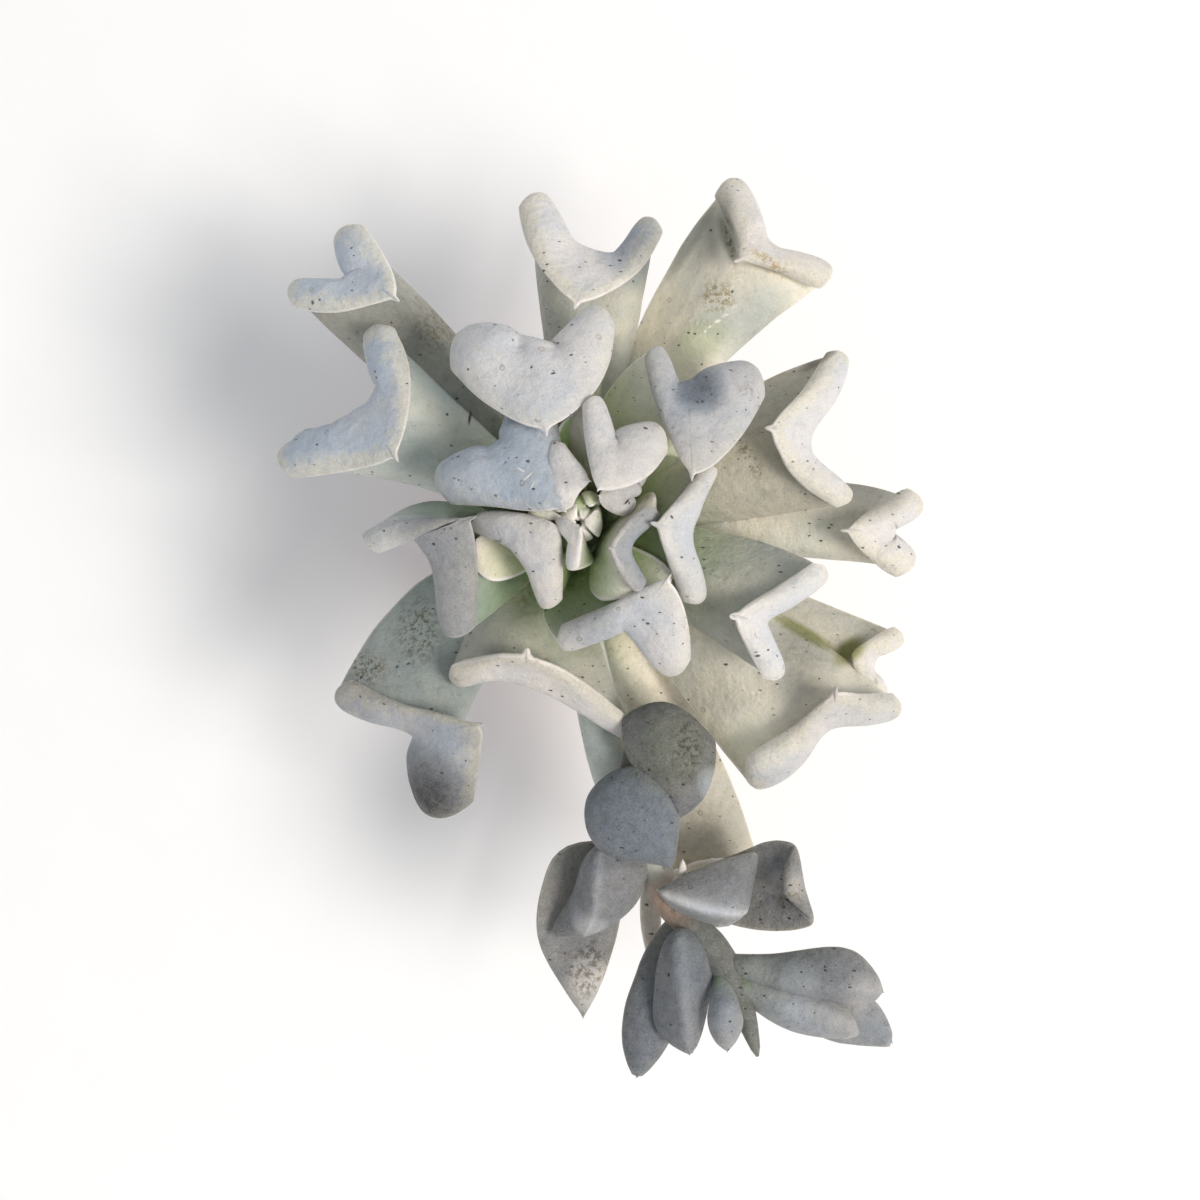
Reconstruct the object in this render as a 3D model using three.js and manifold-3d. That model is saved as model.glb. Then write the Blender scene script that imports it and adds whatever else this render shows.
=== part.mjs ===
// Potted topsy turvy echeveria: a rosette of folded, curled leaves on a short stem,
// with its leafy flower stalk, standing in a plain clay pot of soil.
// Millimetres, +Z up. The origin is the middle of the pot's foot, and the stem stands on it.

import * as THREE from 'three';
import Module from 'manifold-3d';
import { mergeVertices } from 'three/addons/utils/BufferGeometryUtils.js';

const wasm = await Module();
wasm.setup();

// Driving dimensions of the pot and soil
const POT_HEIGHT = 78;
const POT_FOOT_RADIUS = 29;
const POT_NECK_RADIUS = 37.5;
const POT_RIM_RADIUS = 42;
const POT_BAND_HEIGHT = 17;
const POT_WALL = 4.5;
const POT_FLOOR = 6;
const DRAIN_RADIUS = 3.5;
const DRAIN_CIRCLE = 14;
const DRAINS = 3;
const SOIL_LEVEL = 68;
const SOIL_CROWN = 2;

// Driving dimensions of the stem
const STEM_RADIUS = 7.8;
const STEM_NECK_RADIUS = 6;
const STEM_DEPTH = 24;
const STEM_TOP = 126;
const BARK_TOP = 92;
const SCAR_RINGS = 7;
const SCAR_DEPTH = 0.5;

// Gap between pieces that touch, a little more where a curved piece is cut clear,
// and the length below which a cut's edges are merged
const GAP = 0.3;
const CUT_GAP = 0.45;
const SHORT_EDGE = 0.05;

// How finely a leaf is divided, along it and across it
const ALONG = [0, 0.06, 0.18, 0.32, 0.43, 0.51, 0.59, 0.68, 0.78, 0.89, 1];
const ACROSS = 10;
const ROUND_SIDES = 36;
const STEM_SIDES = 16;

const UP = new THREE.Vector3(0, 0, 1);
const clamp = THREE.MathUtils.clamp;
const lerp = THREE.MathUtils.lerp;
const radians = THREE.MathUtils.degToRad;

const point = ([x, y, z]) => new THREE.Vector3(x, y, z);
const mix = (from, to, t) => from.clone().lerp(to, t);
const along = (start, direction, distance) => start.clone().addScaledVector(direction, distance);
const flat = (v) => new THREE.Vector3(v.x, v.y, 0).normalize();

// A lobe is the rounded corner of a leaf: its tip, half its width there, and its neck in plan
const lobe = (tip, reach, neck, waist) => ({ tip: point(tip), reach, neck, waist });

// Each leaf: root = bearing round the stem and height; fold = middle of the outer fold;
// tip = the point that curls back over it; left and right lobes as seen from the stem.
// sideLeft and sideRight: how far the blade's sides stand out, a third and two thirds along.
const leaf = (name, root, fold, tip, left, right, shape = {}) => ({
  name,
  bearing: radians(root[0]),
  rootHeight: root[1],
  fold: point(fold),
  tip: point(tip),
  left,
  right,
  rootWidth: 6,
  thick: 5,
  turn: 4,
  bellyLeft: 2,
  bellyRight: 2,
  sideLeft: [0, 0],
  sideRight: [0, 0],
  ...shape,
});

const SMALL = { rootWidth: 3, thick: 3.5, turn: 2.5 };

const INNER_LEAVES = [
  leaf('inner_leaf_01', [75, 123], [9.5, 22, 150], [4, 6.5, 158],
    lobe([3.5, 32.5, 147], 3, [5.5, 22], 4), lobe([21.5, 24, 146], 5, [13.5, 17], 7.5),
    { rootWidth: 3.5, thick: 4, turn: 3, bellyLeft: 0, bellyRight: 1 }),
  leaf('inner_leaf_02', [12, 125], [16, 7, 145], [5, 5.5, 151],
    lobe([19.5, 12, 142], 2.3, [13.5, 9], 2.5), lobe([13, 1, 142], 2.3, [11, 4], 2.5),
    { ...SMALL, thick: 2.4, bellyLeft: 0, bellyRight: 0 }),
  leaf('inner_leaf_03', [142, 125], [-3.5, 13.5, 147], [3, 9, 154],
    lobe([-5, 3, 144], 2.5, [-2, 8], 3), lobe([-4.5, 22, 144], 2.5, [-1.5, 16], 3),
    { ...SMALL, bellyLeft: 0, bellyRight: 1 }),
  leaf('inner_leaf_04', [-35, 124], [13.5, -7, 149], [7.5, -7, 156],
    lobe([20, 3, 146], 2.5, [13.5, -1.5], 2.5), lobe([17, -17.5, 146], 2.5, [12.5, -12.5], 2.5),
    { rootWidth: 3.5, thick: 4, turn: 3, bellyLeft: 0, bellyRight: 0 }),
  leaf('inner_leaf_05', [262, 124], [-2.5, -6, 149], [1, -1.5, 155],
    lobe([-2, -12.5, 146], 2, [-1, -7], 2), lobe([-5.5, 1, 146], 2, [-3.5, -1], 2),
    { ...SMALL, bellyLeft: 0, bellyRight: 0 }),
];

const MIDDLE_LEAVES = [
  leaf('middle_leaf_01', [104, 108], [-13, 49.5, 140], [-8.5, 22.5, 152],
    lobe([-33, 49.5, 134], 7, [-23, 42.5], 9.5), lobe([5.5, 57.5, 135], 5, [0, 42.5], 8.5)),
  leaf('middle_leaf_02', [45, 115], [28.5, 38, 140], [28.5, 10, 153],
    lobe([20, 47, 135], 3, [23, 34], 4), lobe([47.5, 41, 133], 6, [37.5, 32], 9.5),
    { bellyLeft: 0, sideLeft: [8, 7] }),
  leaf('middle_leaf_03', [162, 120], [-23.5, 20.5, 140], [-3.5, 2.5, 151],
    lobe([-38, 11.5, 133], 6, [-25, 12.5], 7.5), lobe([-13.5, 32.5, 134], 6, [-13, 22], 7.5),
    { bellyLeft: 1, bellyRight: 1 }),
  leaf('middle_leaf_04', [195, 109], [-44.5, -3.5, 136], [-28, 2.5, 147],
    lobe([-33.5, -30, 129], 5, [-32.5, -13.5], 5.5), lobe([-58.5, -4.5, 129], 4.5, [-48, 0.5], 5.5),
    { bellyLeft: 0, bellyRight: 3, sideRight: [5, 13] }),
  leaf('middle_leaf_05', [226, 119], [-18, -7, 141], [-4.5, -1, 149],
    lobe([-8, -22.5, 135], 3.5, [-9, -12], 4.5), lobe([-28.5, 0.5, 135], 3, [-19.5, -1], 4),
    { bellyLeft: 0 }),
  leaf('middle_leaf_06', [-62, 114], [11, -28, 139], [23, -13.5, 151],
    lobe([26, -40, 133], 4.5, [22.5, -31], 7), lobe([-5.5, -31.5, 133], 4, [9, -25.5], 3.5),
    { bellyLeft: 1, bellyRight: 0 }),
  leaf('middle_leaf_07', [8, 118], [29.5, -3, 142], [19.5, -0.5, 152],
    lobe([35.5, 15, 138], 2.5, [29.5, 6], 3.5), lobe([31.5, -21, 137], 4, [27.5, -12], 3.5),
    { bellyLeft: 0, bellyRight: 0 }),
  leaf('middle_leaf_08', [-25, 110], [50.5, -25, 131], [40.5, -24.5, 143],
    lobe([67, -12, 126], 4, [54.5, -19.5], 3), lobe([54, -41.5, 126], 4, [48, -31.5], 4),
    { bellyLeft: 0, bellyRight: 0, sideLeft: [4, 4] }),
];

const OUTER_LEAVES = [
  leaf('outer_leaf_01', [134, 92], [-64, 73, 114], [-49, 61.5, 128],
    lobe([-82.5, 67.5, 109], 4.5, [-68.5, 63.5], 5), lobe([-67, 84.5, 110], 5.5, [-60, 73], 6),
    { bellyLeft: 0, sideRight: [3, 5] }),
  leaf('outer_leaf_02', [165, 103], [-59, 33.5, 120], [-49, 17, 134],
    lobe([-84.5, 18.5, 112], 5, [-67, 22], 7.5), lobe([-57.5, 55.5, 117], 5.2, [-51, 41.5], 6),
    { bellyLeft: 0, bellyRight: 3, sideLeft: [-7, -6] }),
  leaf('outer_leaf_03', [88, 99], [5.5, 76, 121], [-1, 57.5, 136],
    lobe([-13, 92.5, 117], 5, [-9, 77], 6), lobe([20, 85.5, 117], 4, [14, 72.5], 5),
    { bellyLeft: 1 }),
  leaf('outer_leaf_04', [58, 104], [53.5, 77.5, 119], [43, 72.5, 127],
    lobe([41.5, 97, 114], 5.5, [46.5, 81.5], 3.5), lobe([70, 70.5, 113], 4.5, [57.5, 72.5], 3),
    { turn: 3, thick: 5.5, bellyLeft: 0, bellyRight: 0, sideLeft: [5, 6], sideRight: [-8, -8] }),
  leaf('outer_leaf_05', [26, 102], [63.5, 25.5, 121], [50, 26, 134],
    lobe([72.5, 48.5, 117], 4, [67, 37.5], 4.5), lobe([75, 7.5, 116], 4, [61.5, 15], 4.5),
    { bellyLeft: 0, bellyRight: 0, sideLeft: [3, 6] }),
  leaf('outer_leaf_06', [0, 93], [89, -1, 110], [72.5, -1, 121],
    lobe([96.5, 8, 106], 4.5, [86, 4], 4), lobe([94, -10.5, 106], 5, [85, -6], 5),
    { bellyLeft: 0, bellyRight: 1, sideLeft: [4, 9] }),
  leaf('outer_leaf_07', [-20, 88], [84.5, -39.5, 99], [78.5, -36.5, 106],
    lobe([93.5, -30.5, 95], 3.5, [85.5, -33], 3), lobe([88, -49, 94], 3.5, [83.5, -44], 3),
    { bellyLeft: 0, bellyRight: 0 }),
  leaf('outer_leaf_08', [-43, 100], [68, -56.5, 113], [70, -45, 125],
    lobe([90.5, -50.5, 108], 4.5, [78.5, -51], 4.5), lobe([47.5, -71.5, 108], 6.5, [60, -61], 4.5),
    { bellyLeft: 0, bellyRight: 0, sideLeft: [4, 5] }),
  leaf('outer_leaf_09', [-62, 89], [38, -106, 87], [38, -96, 95],
    lobe([54, -104, 84], 4.5, [46, -101.5], 4), lobe([24.5, -106.5, 84], 4.5, [30.5, -103], 4),
    { sideLeft: [3, 4] }),
  leaf('outer_leaf_10', [-110, 102], [-16.5, -44.5, 111], [-15, -35.5, 124],
    lobe([15.5, -59.5, 106], 3.5, [-2, -46], 5), lobe([-37, -43, 107], 4.5, [-28.5, -39], 3),
    { sideLeft: [-5, -6], sideRight: [15, 6] }),
  leaf('outer_leaf_11', [-142, 91], [-48.5, -57, 105], [-27, -55, 116],
    lobe([-39.5, -82.5, 99], 8, [-38.5, -62], 9.5), lobe([-70, -46.5, 101], 4.5, [-57, -51.5], 3),
    { bellyLeft: 0, bellyRight: 0, sideLeft: [-6, -14], sideRight: [13, 11] }),
];

// The flower stalk arches out from under the rosette: its middle line and its radius along it
const STALK_LINE = [
  [-1.5, -8.6, 93], [1, -32, 92], [5, -55, 94], [9, -71, 97], [15.5, -85, 101], [21, -97.5, 104],
  [25, -106.5, 107], [33, -114, 110], [40.5, -122, 112], [45.5, -133.5, 115], [49, -146.5, 119],
].map(point);
const STALK_RADII = [4.5, 6, 6.3, 5.8, 5.2, 4.9, 4.7, 4.6, 4.8, 4.6, 2.5];
const STALK_SIDES = 12;
const STALK_RINGS = 22;

// A bract is a small fleshy leaf on the stalk. It has a place along the stalk, a thickness and a
// keel, which is 0.5 for a round back. Each row is its left edge, its middle and its right edge.
const bract = (place, thick, keel, ...rows) => ({
  place, thick, keel, rows: rows.map((row) => row.map(point)),
});

const BRACTS = [
  bract(0.31, 5, 0.5,
    [[12.5, -61.5, 103], [21, -61, 103], [34, -66.5, 103]],
    [[12, -55.5, 107], [23, -50.5, 108], [37.5, -61, 108]],
    [[11.5, -52.5, 112], [24, -47.5, 115], [38, -59.5, 113]],
    [[11, -65, 113], [25.5, -61.5, 119], [38, -69.5, 113]],
    [[19.5, -72, 113.5], [27.5, -72, 117.5], [34.5, -77.5, 113]],
    [[26.5, -80, 114], [27.5, -81.5, 115], [28.5, -80.5, 114]]),
  bract(0.42, 5.5, 0.5,
    [[5.5, -79, 106], [9.5, -75, 106], [14, -71.5, 106]],
    [[1.5, -75, 111], [6.5, -71, 111.5], [11.5, -67, 111]],
    [[0.5, -82.5, 114], [9.5, -74, 117], [19.5, -66.5, 114]],
    [[4, -90, 115.5], [14.5, -80, 119], [25.5, -71.5, 115.5]],
    [[10.5, -93.5, 115], [19.5, -85.5, 118], [28.5, -79, 115]],
    [[19, -93.5, 114.5], [23, -90, 116], [27, -87.5, 114.5]],
    [[23.5, -94.5, 115], [25, -95.5, 115.5], [26.5, -93, 115]]),
  bract(0.5, 5, 0.78,
    [[5, -95, 106], [11, -93, 105], [19, -93.5, 106]],
    [[1, -91, 109], [5.5, -88, 112], [19, -92.5, 111]],
    [[-1, -101.5, 107.5], [4.5, -95.5, 119], [18.5, -103, 110]],
    [[-5, -108, 107], [5.5, -104, 118], [12.5, -109.5, 110]],
    [[-9, -113.5, 108], [3.5, -110.5, 115], [7, -113, 110.5]],
    [[-7, -116, 109.5], [1, -114.5, 112], [2.5, -113.5, 111.5]]),
  bract(0.6, 4.5, 0.88,
    [[34, -114.5, 104], [37.5, -107.5, 106], [38.5, -99.5, 108]],
    [[43, -113, 105], [47.5, -106.5, 110], [51.5, -92.5, 109]],
    [[40, -113, 106], [42.5, -107, 117.5], [49, -90.5, 112]],
    [[32, -113, 106], [33.5, -105, 119.5], [38, -93.5, 113]],
    [[25.5, -107, 110], [27.5, -102.5, 118.5], [30.5, -96.5, 114]],
    [[22, -102, 115], [21.5, -101, 116], [22.5, -100, 116]]),
  bract(0.57, 5, 0.6,
    [[40, -112.5, 105], [42, -103.5, 102], [44, -93, 105]],
    [[48.5, -114, 107], [52, -103.5, 101.5], [52, -88, 107]],
    [[58, -114, 110], [57, -102.5, 104], [57.5, -88, 111]],
    [[66.5, -112, 111], [62, -100.5, 111], [61, -89, 112]],
    [[65, -109.5, 113.5], [58, -101, 115.5], [59, -90.5, 114]],
    [[62, -107.5, 113.5], [56.5, -102, 114], [57, -94.5, 114]]),
  bract(0.44, 5, 0.7,
    [[-6, -85.5, 104], [5.5, -95, 98], [17, -92.5, 100]],
    [[-12, -102, 106], [0, -107.5, 99], [13, -104, 100]],
    [[-13.5, -116.5, 106], [-2.5, -118, 101], [10.5, -115.5, 101]],
    [[-8, -126.5, 105], [-1, -125.5, 105.5], [9, -122.5, 101]],
    [[-3, -134, 103], [1, -132, 106.5], [5.5, -130.5, 102]],
    [[0, -138.5, 103], [0.5, -140, 103.5], [1.5, -138.5, 103]]),
  bract(0.74, 5.5, 0.7,
    [[24.5, -118, 111], [29.5, -115, 110], [36.5, -120, 111]],
    [[22.5, -117.5, 112.5], [27, -111.5, 115.5], [37.5, -118, 113]],
    [[21, -127, 111], [28, -121.5, 120], [37.5, -127.5, 112.5]],
    [[20, -136, 110], [29.5, -131, 119.5], [35.5, -134.5, 112.5]],
    [[21, -143, 110.5], [30.5, -140.5, 117], [34, -141, 112]],
    [[29, -147, 113.5], [30.5, -147.5, 114], [31.5, -147, 113.5]]),
  bract(0.68, 5, 0.6,
    [[21, -113, 105], [23.5, -120, 104], [31, -127.5, 103]],
    [[14.5, -128.5, 105], [21.5, -134, 106.5], [29.5, -138, 103]],
    [[11, -140.5, 105], [18.5, -142, 108], [26, -146, 104]],
    [[11.5, -149, 105], [17, -150.5, 106.5], [22, -151.5, 104]],
    [[14.5, -155.5, 104.5], [16, -156, 105], [17.5, -156, 104.5]]),
  bract(0.85, 5.5, 0.7,
    [[51.5, -130.5, 111.5], [52, -125.5, 118], [52.5, -120, 114]],
    [[65, -133, 112], [64, -126, 122], [68.5, -116, 115]],
    [[75.5, -134, 113.5], [74.5, -127, 123], [78, -117.5, 116]],
    [[81.5, -131.5, 116], [81, -127.5, 120], [82, -123.5, 117]],
    [[83.5, -129.5, 117], [84, -129, 117.5], [84, -128.5, 117]]),
  bract(0.9, 5, 0.65,
    [[50, -137, 114], [52, -131, 119], [54, -126.5, 115]],
    [[60.5, -142, 115], [62.5, -133, 122], [66.5, -128.5, 116]],
    [[71, -142.5, 116], [71.5, -136, 121], [73.5, -132, 117]],
    [[76.5, -141.5, 117], [77.5, -140.5, 117.5], [77, -139.5, 117]]),
  bract(0.87, 4, 0.5,
    [[35.5, -132.5, 119], [39, -130, 118], [43.5, -133, 119]],
    [[34.5, -135.5, 121], [39, -129, 124], [45.5, -135, 121]],
    [[36, -141, 120], [39, -136, 125.5], [44.5, -140, 120]],
    [[39.5, -144, 121], [40.5, -144.5, 121.5], [41, -144, 121]]),
  bract(0.83, 4.5, 0.5,
    [[62, -143, 108.5], [62, -135.5, 111], [63, -130.5, 109]],
    [[76, -146.5, 109], [76.5, -137, 113.5], [79.5, -129.5, 110]],
    [[84.5, -146, 110], [84.5, -139.5, 113], [85.5, -134, 111]],
    [[87, -146, 111], [87.5, -144.5, 111], [87.5, -143.5, 111]]),
  bract(0.48, 3, 0.5,
    [[16.5, -109, 95.5], [19, -109, 96], [23, -109, 95.5]],
    [[17.5, -119.5, 94.5], [20.5, -119, 96], [23.5, -119.5, 94.5]],
    [[20, -126.5, 94], [21.5, -127, 95], [23.5, -126, 94]],
    [[22.5, -130.5, 94], [22.5, -131, 94.3], [23, -130.5, 94]]),
  bract(0.6, 3, 0.5,
    [[27, -98, 110.5], [28.5, -97.5, 111.5], [31, -98.5, 110.5]],
    [[27.5, -95.5, 112], [28.5, -95, 113], [30, -96, 112]],
    [[28, -93.5, 113], [28.5, -93, 113.3], [29, -93.5, 113]]),
];
const BRACT_ROOT = 2;

// The youngest leaves in the heart stand close round the top of the stem
const HEART = { leaves: 7, turn: 137.5, core: 4.5, rise: 7, height: 18, spread: 4.5, wide: 6, thick: 2.6 };

// Smooth curves and surfaces

// The small step over which a curve's direction is measured
const STEP = 1e-3;

// Weights of a row of control points, for a smooth curve that starts and ends on its end points
function splineWeights(count, t) {
  const degree = 3;
  const spans = count - degree;
  const knot = (i) => clamp((i - degree) / spans, 0, 1);
  const at = Math.min(t, 1 - 1e-9);
  let weights = Array.from({ length: count + degree }, (_, i) => Number(at >= knot(i) && at < knot(i + 1)));
  for (let order = 1; order <= degree; order += 1) {
    weights = weights.slice(0, -1).map((weight, i) => {
      const before = knot(i + order) - knot(i);
      const after = knot(i + order + 1) - knot(i + 1);
      const rising = before > 0 ? ((at - knot(i)) / before) * weight : 0;
      const falling = after > 0 ? ((knot(i + order + 1) - at) / after) * weights[i + 1] : 0;
      return rising + falling;
    });
  }
  return weights;
}

function curvePoint(points, t) {
  const weights = splineWeights(points.length, t);
  return points.reduce((sum, p, i) => sum.addScaledVector(p, weights[i]), new THREE.Vector3());
}

function surfacePoint(columns, u, v) {
  const weights = splineWeights(columns.length, (v + 1) / 2);
  const sum = new THREE.Vector3();
  columns.forEach((column, i) => {
    if (weights[i] > 0) sum.addScaledVector(curvePoint(column, u), weights[i]);
  });
  return sum;
}

// Closed meshes and solids

function geometryFrom(vertices, triangles) {
  const geometry = new THREE.BufferGeometry();
  const numbers = vertices.flatMap((p) => p.toArray());
  geometry.setAttribute('position', new THREE.Float32BufferAttribute(numbers, 3));
  geometry.setIndex(triangles.flat());
  return geometry;
}

function solidOf(geometry) {
  const bare = geometry.clone();
  bare.deleteAttribute('normal');
  bare.deleteAttribute('uv');
  const merged = mergeVertices(bare, 1e-4);
  return new wasm.Manifold(new wasm.Mesh({
    numProp: 3,
    vertProperties: new Float32Array(merged.attributes.position.array),
    triVerts: new Uint32Array(merged.index.array),
  }));
}

function geometryOf(solid) {
  const mesh = solid.getMesh();
  const geometry = new THREE.BufferGeometry();
  geometry.setAttribute('position', new THREE.BufferAttribute(new Float32Array(mesh.vertProperties), 3));
  geometry.setIndex(new THREE.BufferAttribute(new Uint32Array(mesh.triVerts), 1));
  return geometry;
}

// The same piece made a little fatter all over, to cut its neighbours clear of it
function swollen(solid, by) {
  const geometry = geometryOf(solid);
  geometry.computeVertexNormals();
  const { position, normal } = geometry.attributes;
  for (let i = 0; i < position.count; i += 1) {
    position.setXYZ(
      i,
      position.getX(i) + normal.getX(i) * by,
      position.getY(i) + normal.getY(i) * by,
      position.getZ(i) + normal.getZ(i) * by,
    );
  }
  geometry.deleteAttribute('normal');
  return solidOf(geometry);
}

// What is left of a cut piece, without its loose scraps and its shortest edges
function tidied(solid) {
  const pieces = solid.decompose().sort((a, b) => b.volume() - a.volume());
  return pieces[0].simplify(SHORT_EDGE);
}

function lathed(profile, sides = ROUND_SIDES) {
  const points = profile.map(([x, y]) => new THREE.Vector2(x, y));
  return new THREE.LatheGeometry(points, sides).rotateX(Math.PI / 2);
}

// A leaf's body from its upper and lower skins, which share their edge
function bodyBetween(upper, lower) {
  const rows = upper.length;
  const columns = upper[0].length;
  const vertices = [];
  const onEdge = (i, j) => i === 0 || j === 0 || i === rows - 1 || j === columns - 1;
  const added = (p) => vertices.push(p) - 1;
  const above = upper.map((row) => row.map(added));
  const below = lower.map((row, i) => row.map((p, j) => (onEdge(i, j) ? above[i][j] : added(p))));
  const corners = (skin, i, j) => [skin[i][j], skin[i + 1][j], skin[i + 1][j + 1], skin[i][j + 1]];
  const triangles = [];
  for (let i = 0; i < rows - 1; i += 1) {
    for (let j = 0; j < columns - 1; j += 1) {
      const [a, b, c, d] = corners(above, i, j);
      const [e, f, g, h] = corners(below, i, j);
      if ((2 * i < rows - 1) === (2 * j < columns - 1)) {
        triangles.push([a, b, c], [a, c, d], [e, g, f], [e, h, g]);
      } else {
        triangles.push([a, b, d], [b, c, d], [e, h, f], [f, h, g]);
      }
    }
  }
  return geometryFrom(vertices, triangles);
}

// Rosette leaves

// One line of a leaf from its root out to the fold, round the fold and back to the curled edge
function foldedLine(root, fold, edge, turn, half, rise, outward, crown) {
  const centre = along(fold, outward, -(half + turn));
  const under = along(along(centre, UP, -1.1 * turn), outward, -0.2 * turn);
  const round = along(centre, outward, 1.45 * turn);
  const over = along(along(centre, UP, 1.15 * turn), outward, -0.1 * turn);
  return [
    root,
    along(mix(root, under, 0.36), UP, rise),
    along(mix(root, under, 0.7), UP, 1.1 * rise),
    under,
    round,
    over,
    along(mix(over, edge, 0.5), UP, crown),
    edge,
  ];
}

// A leaf arches up along its middle and its sides droop; its root starts just clear of the stem
const ARCH = 2;
const DROOP = 5;
const ROOT_REACH = STEM_RADIUS + 0.6;

// The lines of one half of a leaf, from beside its middle to the rounded tip of its lobe
function halfLeaf(leafShape, side, corner, belly, standOut) {
  const { fold, tip, turn, rootWidth } = leafShape;
  const half = leafShape.thick / 2;
  const outward = new THREE.Vector3(Math.cos(leafShape.bearing), Math.sin(leafShape.bearing), 0);
  const sideways = new THREE.Vector3(-outward.y, outward.x, 0).multiplyScalar(side);
  const root = along(new THREE.Vector3(0, 0, leafShape.rootHeight), outward, ROOT_REACH);
  const rootAt = (v) => along(along(root, sideways, v * rootWidth), UP, -2 * v * v);

  const chord = fold.clone().sub(tip);
  const middleHeight = (fold.z + tip.z) / 2;
  const neck = point([...corner.neck, (corner.tip.z + middleHeight) / 2]);
  const axis = corner.tip.clone().sub(neck);
  axis.z *= 0.7;
  axis.normalize();
  const level = new THREE.Vector3(-axis.y, axis.x, 0).normalize();
  if (level.dot(chord) < 0) level.negate();
  const tilt = (0.5 * (tip.z - fold.z)) / Math.hypot(chord.x, chord.y);
  const toFold = along(level, UP, -tilt).normalize();

  const { reach, waist } = corner;
  const end = along(corner.tip, axis, -0.85 * reach);
  const waistTurn = Math.min(0.5 * waist, turn);
  const waistHalf = Math.min(0.58 * waist, 1.15 * half);
  const waistFold = along(neck, toFold, 1.06 * waist);
  const waistEdge = along(neck, toFold, -1.1 * waist);
  const besideEdge = along(mix(tip, waistEdge, 0.5), chord.clone().normalize(), -belly);
  const besideOut = flat(chord).add(level).normalize();
  const beside = foldedLine(rootAt(0.3), mix(fold, waistFold, 0.55), besideEdge, (turn + waistTurn) / 2,
    (half + waistHalf) / 2, 0.9 * ARCH - 0.1 * DROOP, besideOut, 1);
  const atWaist = foldedLine(rootAt(0.6), waistFold, waistEdge, waistTurn, waistHalf,
    0.4 * ARCH - 0.36 * DROOP, level, 0.15 * waist);
  const endFold = along(end, toFold, 1.12 * reach);
  const endEdge = along(end, toFold, -1.15 * reach);
  const atEnd = foldedLine(rootAt(0.85), endFold, endEdge, Math.min(0.5 * reach, 3.2),
    Math.min(0.58 * reach, 3.6), -0.75 * DROOP, level, 0.15 * reach);

  const rounded = atEnd.slice(3).map((p) => {
    const offset = p.clone().sub(end);
    const swing = Math.min(1, (0.75 * Math.abs(offset.dot(toFold))) / reach);
    return along(along(end, offset, 0.9), axis, reach * Math.sqrt(1 - swing * swing));
  });
  const margin = rootAt(1);
  const low = along(along(mix(margin, rounded[0], 0.36), UP, -0.75 * DROOP), sideways, standOut[0]);
  const high = along(along(mix(margin, rounded[0], 0.7), UP, -0.95 * DROOP), sideways, standOut[1]);
  [1, 2].forEach((row, i) => {
    atWaist[row].addScaledVector(sideways, 0.3 * standOut[i]);
    atEnd[row].addScaledVector(sideways, 0.8 * standOut[i]);
  });
  return [beside, atWaist, atEnd, [margin, low, high, ...rounded]];
}

function leafColumns(leafShape) {
  const outward = new THREE.Vector3(Math.cos(leafShape.bearing), Math.sin(leafShape.bearing), 0);
  const root = along(new THREE.Vector3(0, 0, leafShape.rootHeight), outward, ROOT_REACH);
  const chord = leafShape.fold.clone().sub(leafShape.tip);
  const middle = foldedLine(root, leafShape.fold, leafShape.tip, leafShape.turn, leafShape.thick / 2,
    ARCH, flat(chord), 1);
  const { left, right, bellyLeft, bellyRight, sideLeft, sideRight } = leafShape;
  const leftHalf = halfLeaf(leafShape, 1, left, bellyLeft, sideLeft);
  const rightHalf = halfLeaf(leafShape, -1, right, bellyRight, sideRight);
  return [...rightHalf.reverse(), middle, ...leftHalf];
}

const smooth = (x) => x * x * (3 - 2 * x);

// Half the leaf's thickness: full in the blade, fat and round in the lobes, thin at the curled edge
function halfThickness(leafShape, u, v) {
  const corner = v > 0 ? leafShape.left : leafShape.right;
  const inBlade = clamp((u - 0.35) / 0.25, 0, 1);
  const inLobe = smooth(clamp((Math.abs(v) - 0.35) / 0.5, 0, 1));
  let thick = lerp(leafShape.thick, 1.15 * corner.reach, inLobe * inBlade);
  thick *= 1 - 0.6 * clamp((u - 0.62) / 0.38, 0, 1) * (1 - inLobe);
  const acrossPower = 2.4 + 3.6 * inBlade;
  const acrossRound = Math.sqrt(Math.max(0, 1 - Math.abs(v) ** acrossPower));
  const edgeWidth = 0.05 + 0.09 * inLobe;
  const edgeRound = Math.sqrt(Math.max(0, 1 - clamp((u - 1 + edgeWidth) / edgeWidth, 0, 1) ** 2));
  const rootRound = Math.sqrt(Math.max(0, 1 - clamp((0.06 - u) / 0.06, 0, 1) ** 2));
  return (thick / 2) * acrossRound * edgeRound * rootRound;
}

// The share of that thickness which the inside of the fold keeps, so that it never doubles back
function insideShare(u) {
  const inFold = smooth(clamp((u - 0.4) / 0.12, 0, 1)) * smooth(clamp((0.82 - u) / 0.12, 0, 1));
  return 1 - 0.75 * inFold;
}

// The leaf narrows round its root, and its corners are rounded off
function usedWidth(u) {
  const towardEdge = clamp((u - 0.72) / 0.28, 0, 1);
  const towardRoot = clamp((0.08 - u) / 0.08, 0, 1);
  return (0.94 + 0.06 * Math.sqrt(1 - towardEdge ** 2)) * (0.6 + 0.4 * Math.sqrt(1 - towardRoot ** 2));
}

// Which way the middle skin of a net of columns faces at a place
function facingAt(columns, u, v) {
  const lengthwise = surfacePoint(columns, Math.min(1, u + STEP), v)
    .sub(surfacePoint(columns, Math.max(0, u - STEP), v));
  const crosswise = surfacePoint(columns, u, Math.min(1, v + STEP))
    .sub(surfacePoint(columns, u, Math.max(-1, v - STEP)));
  return lengthwise.cross(crosswise).normalize();
}

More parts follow.
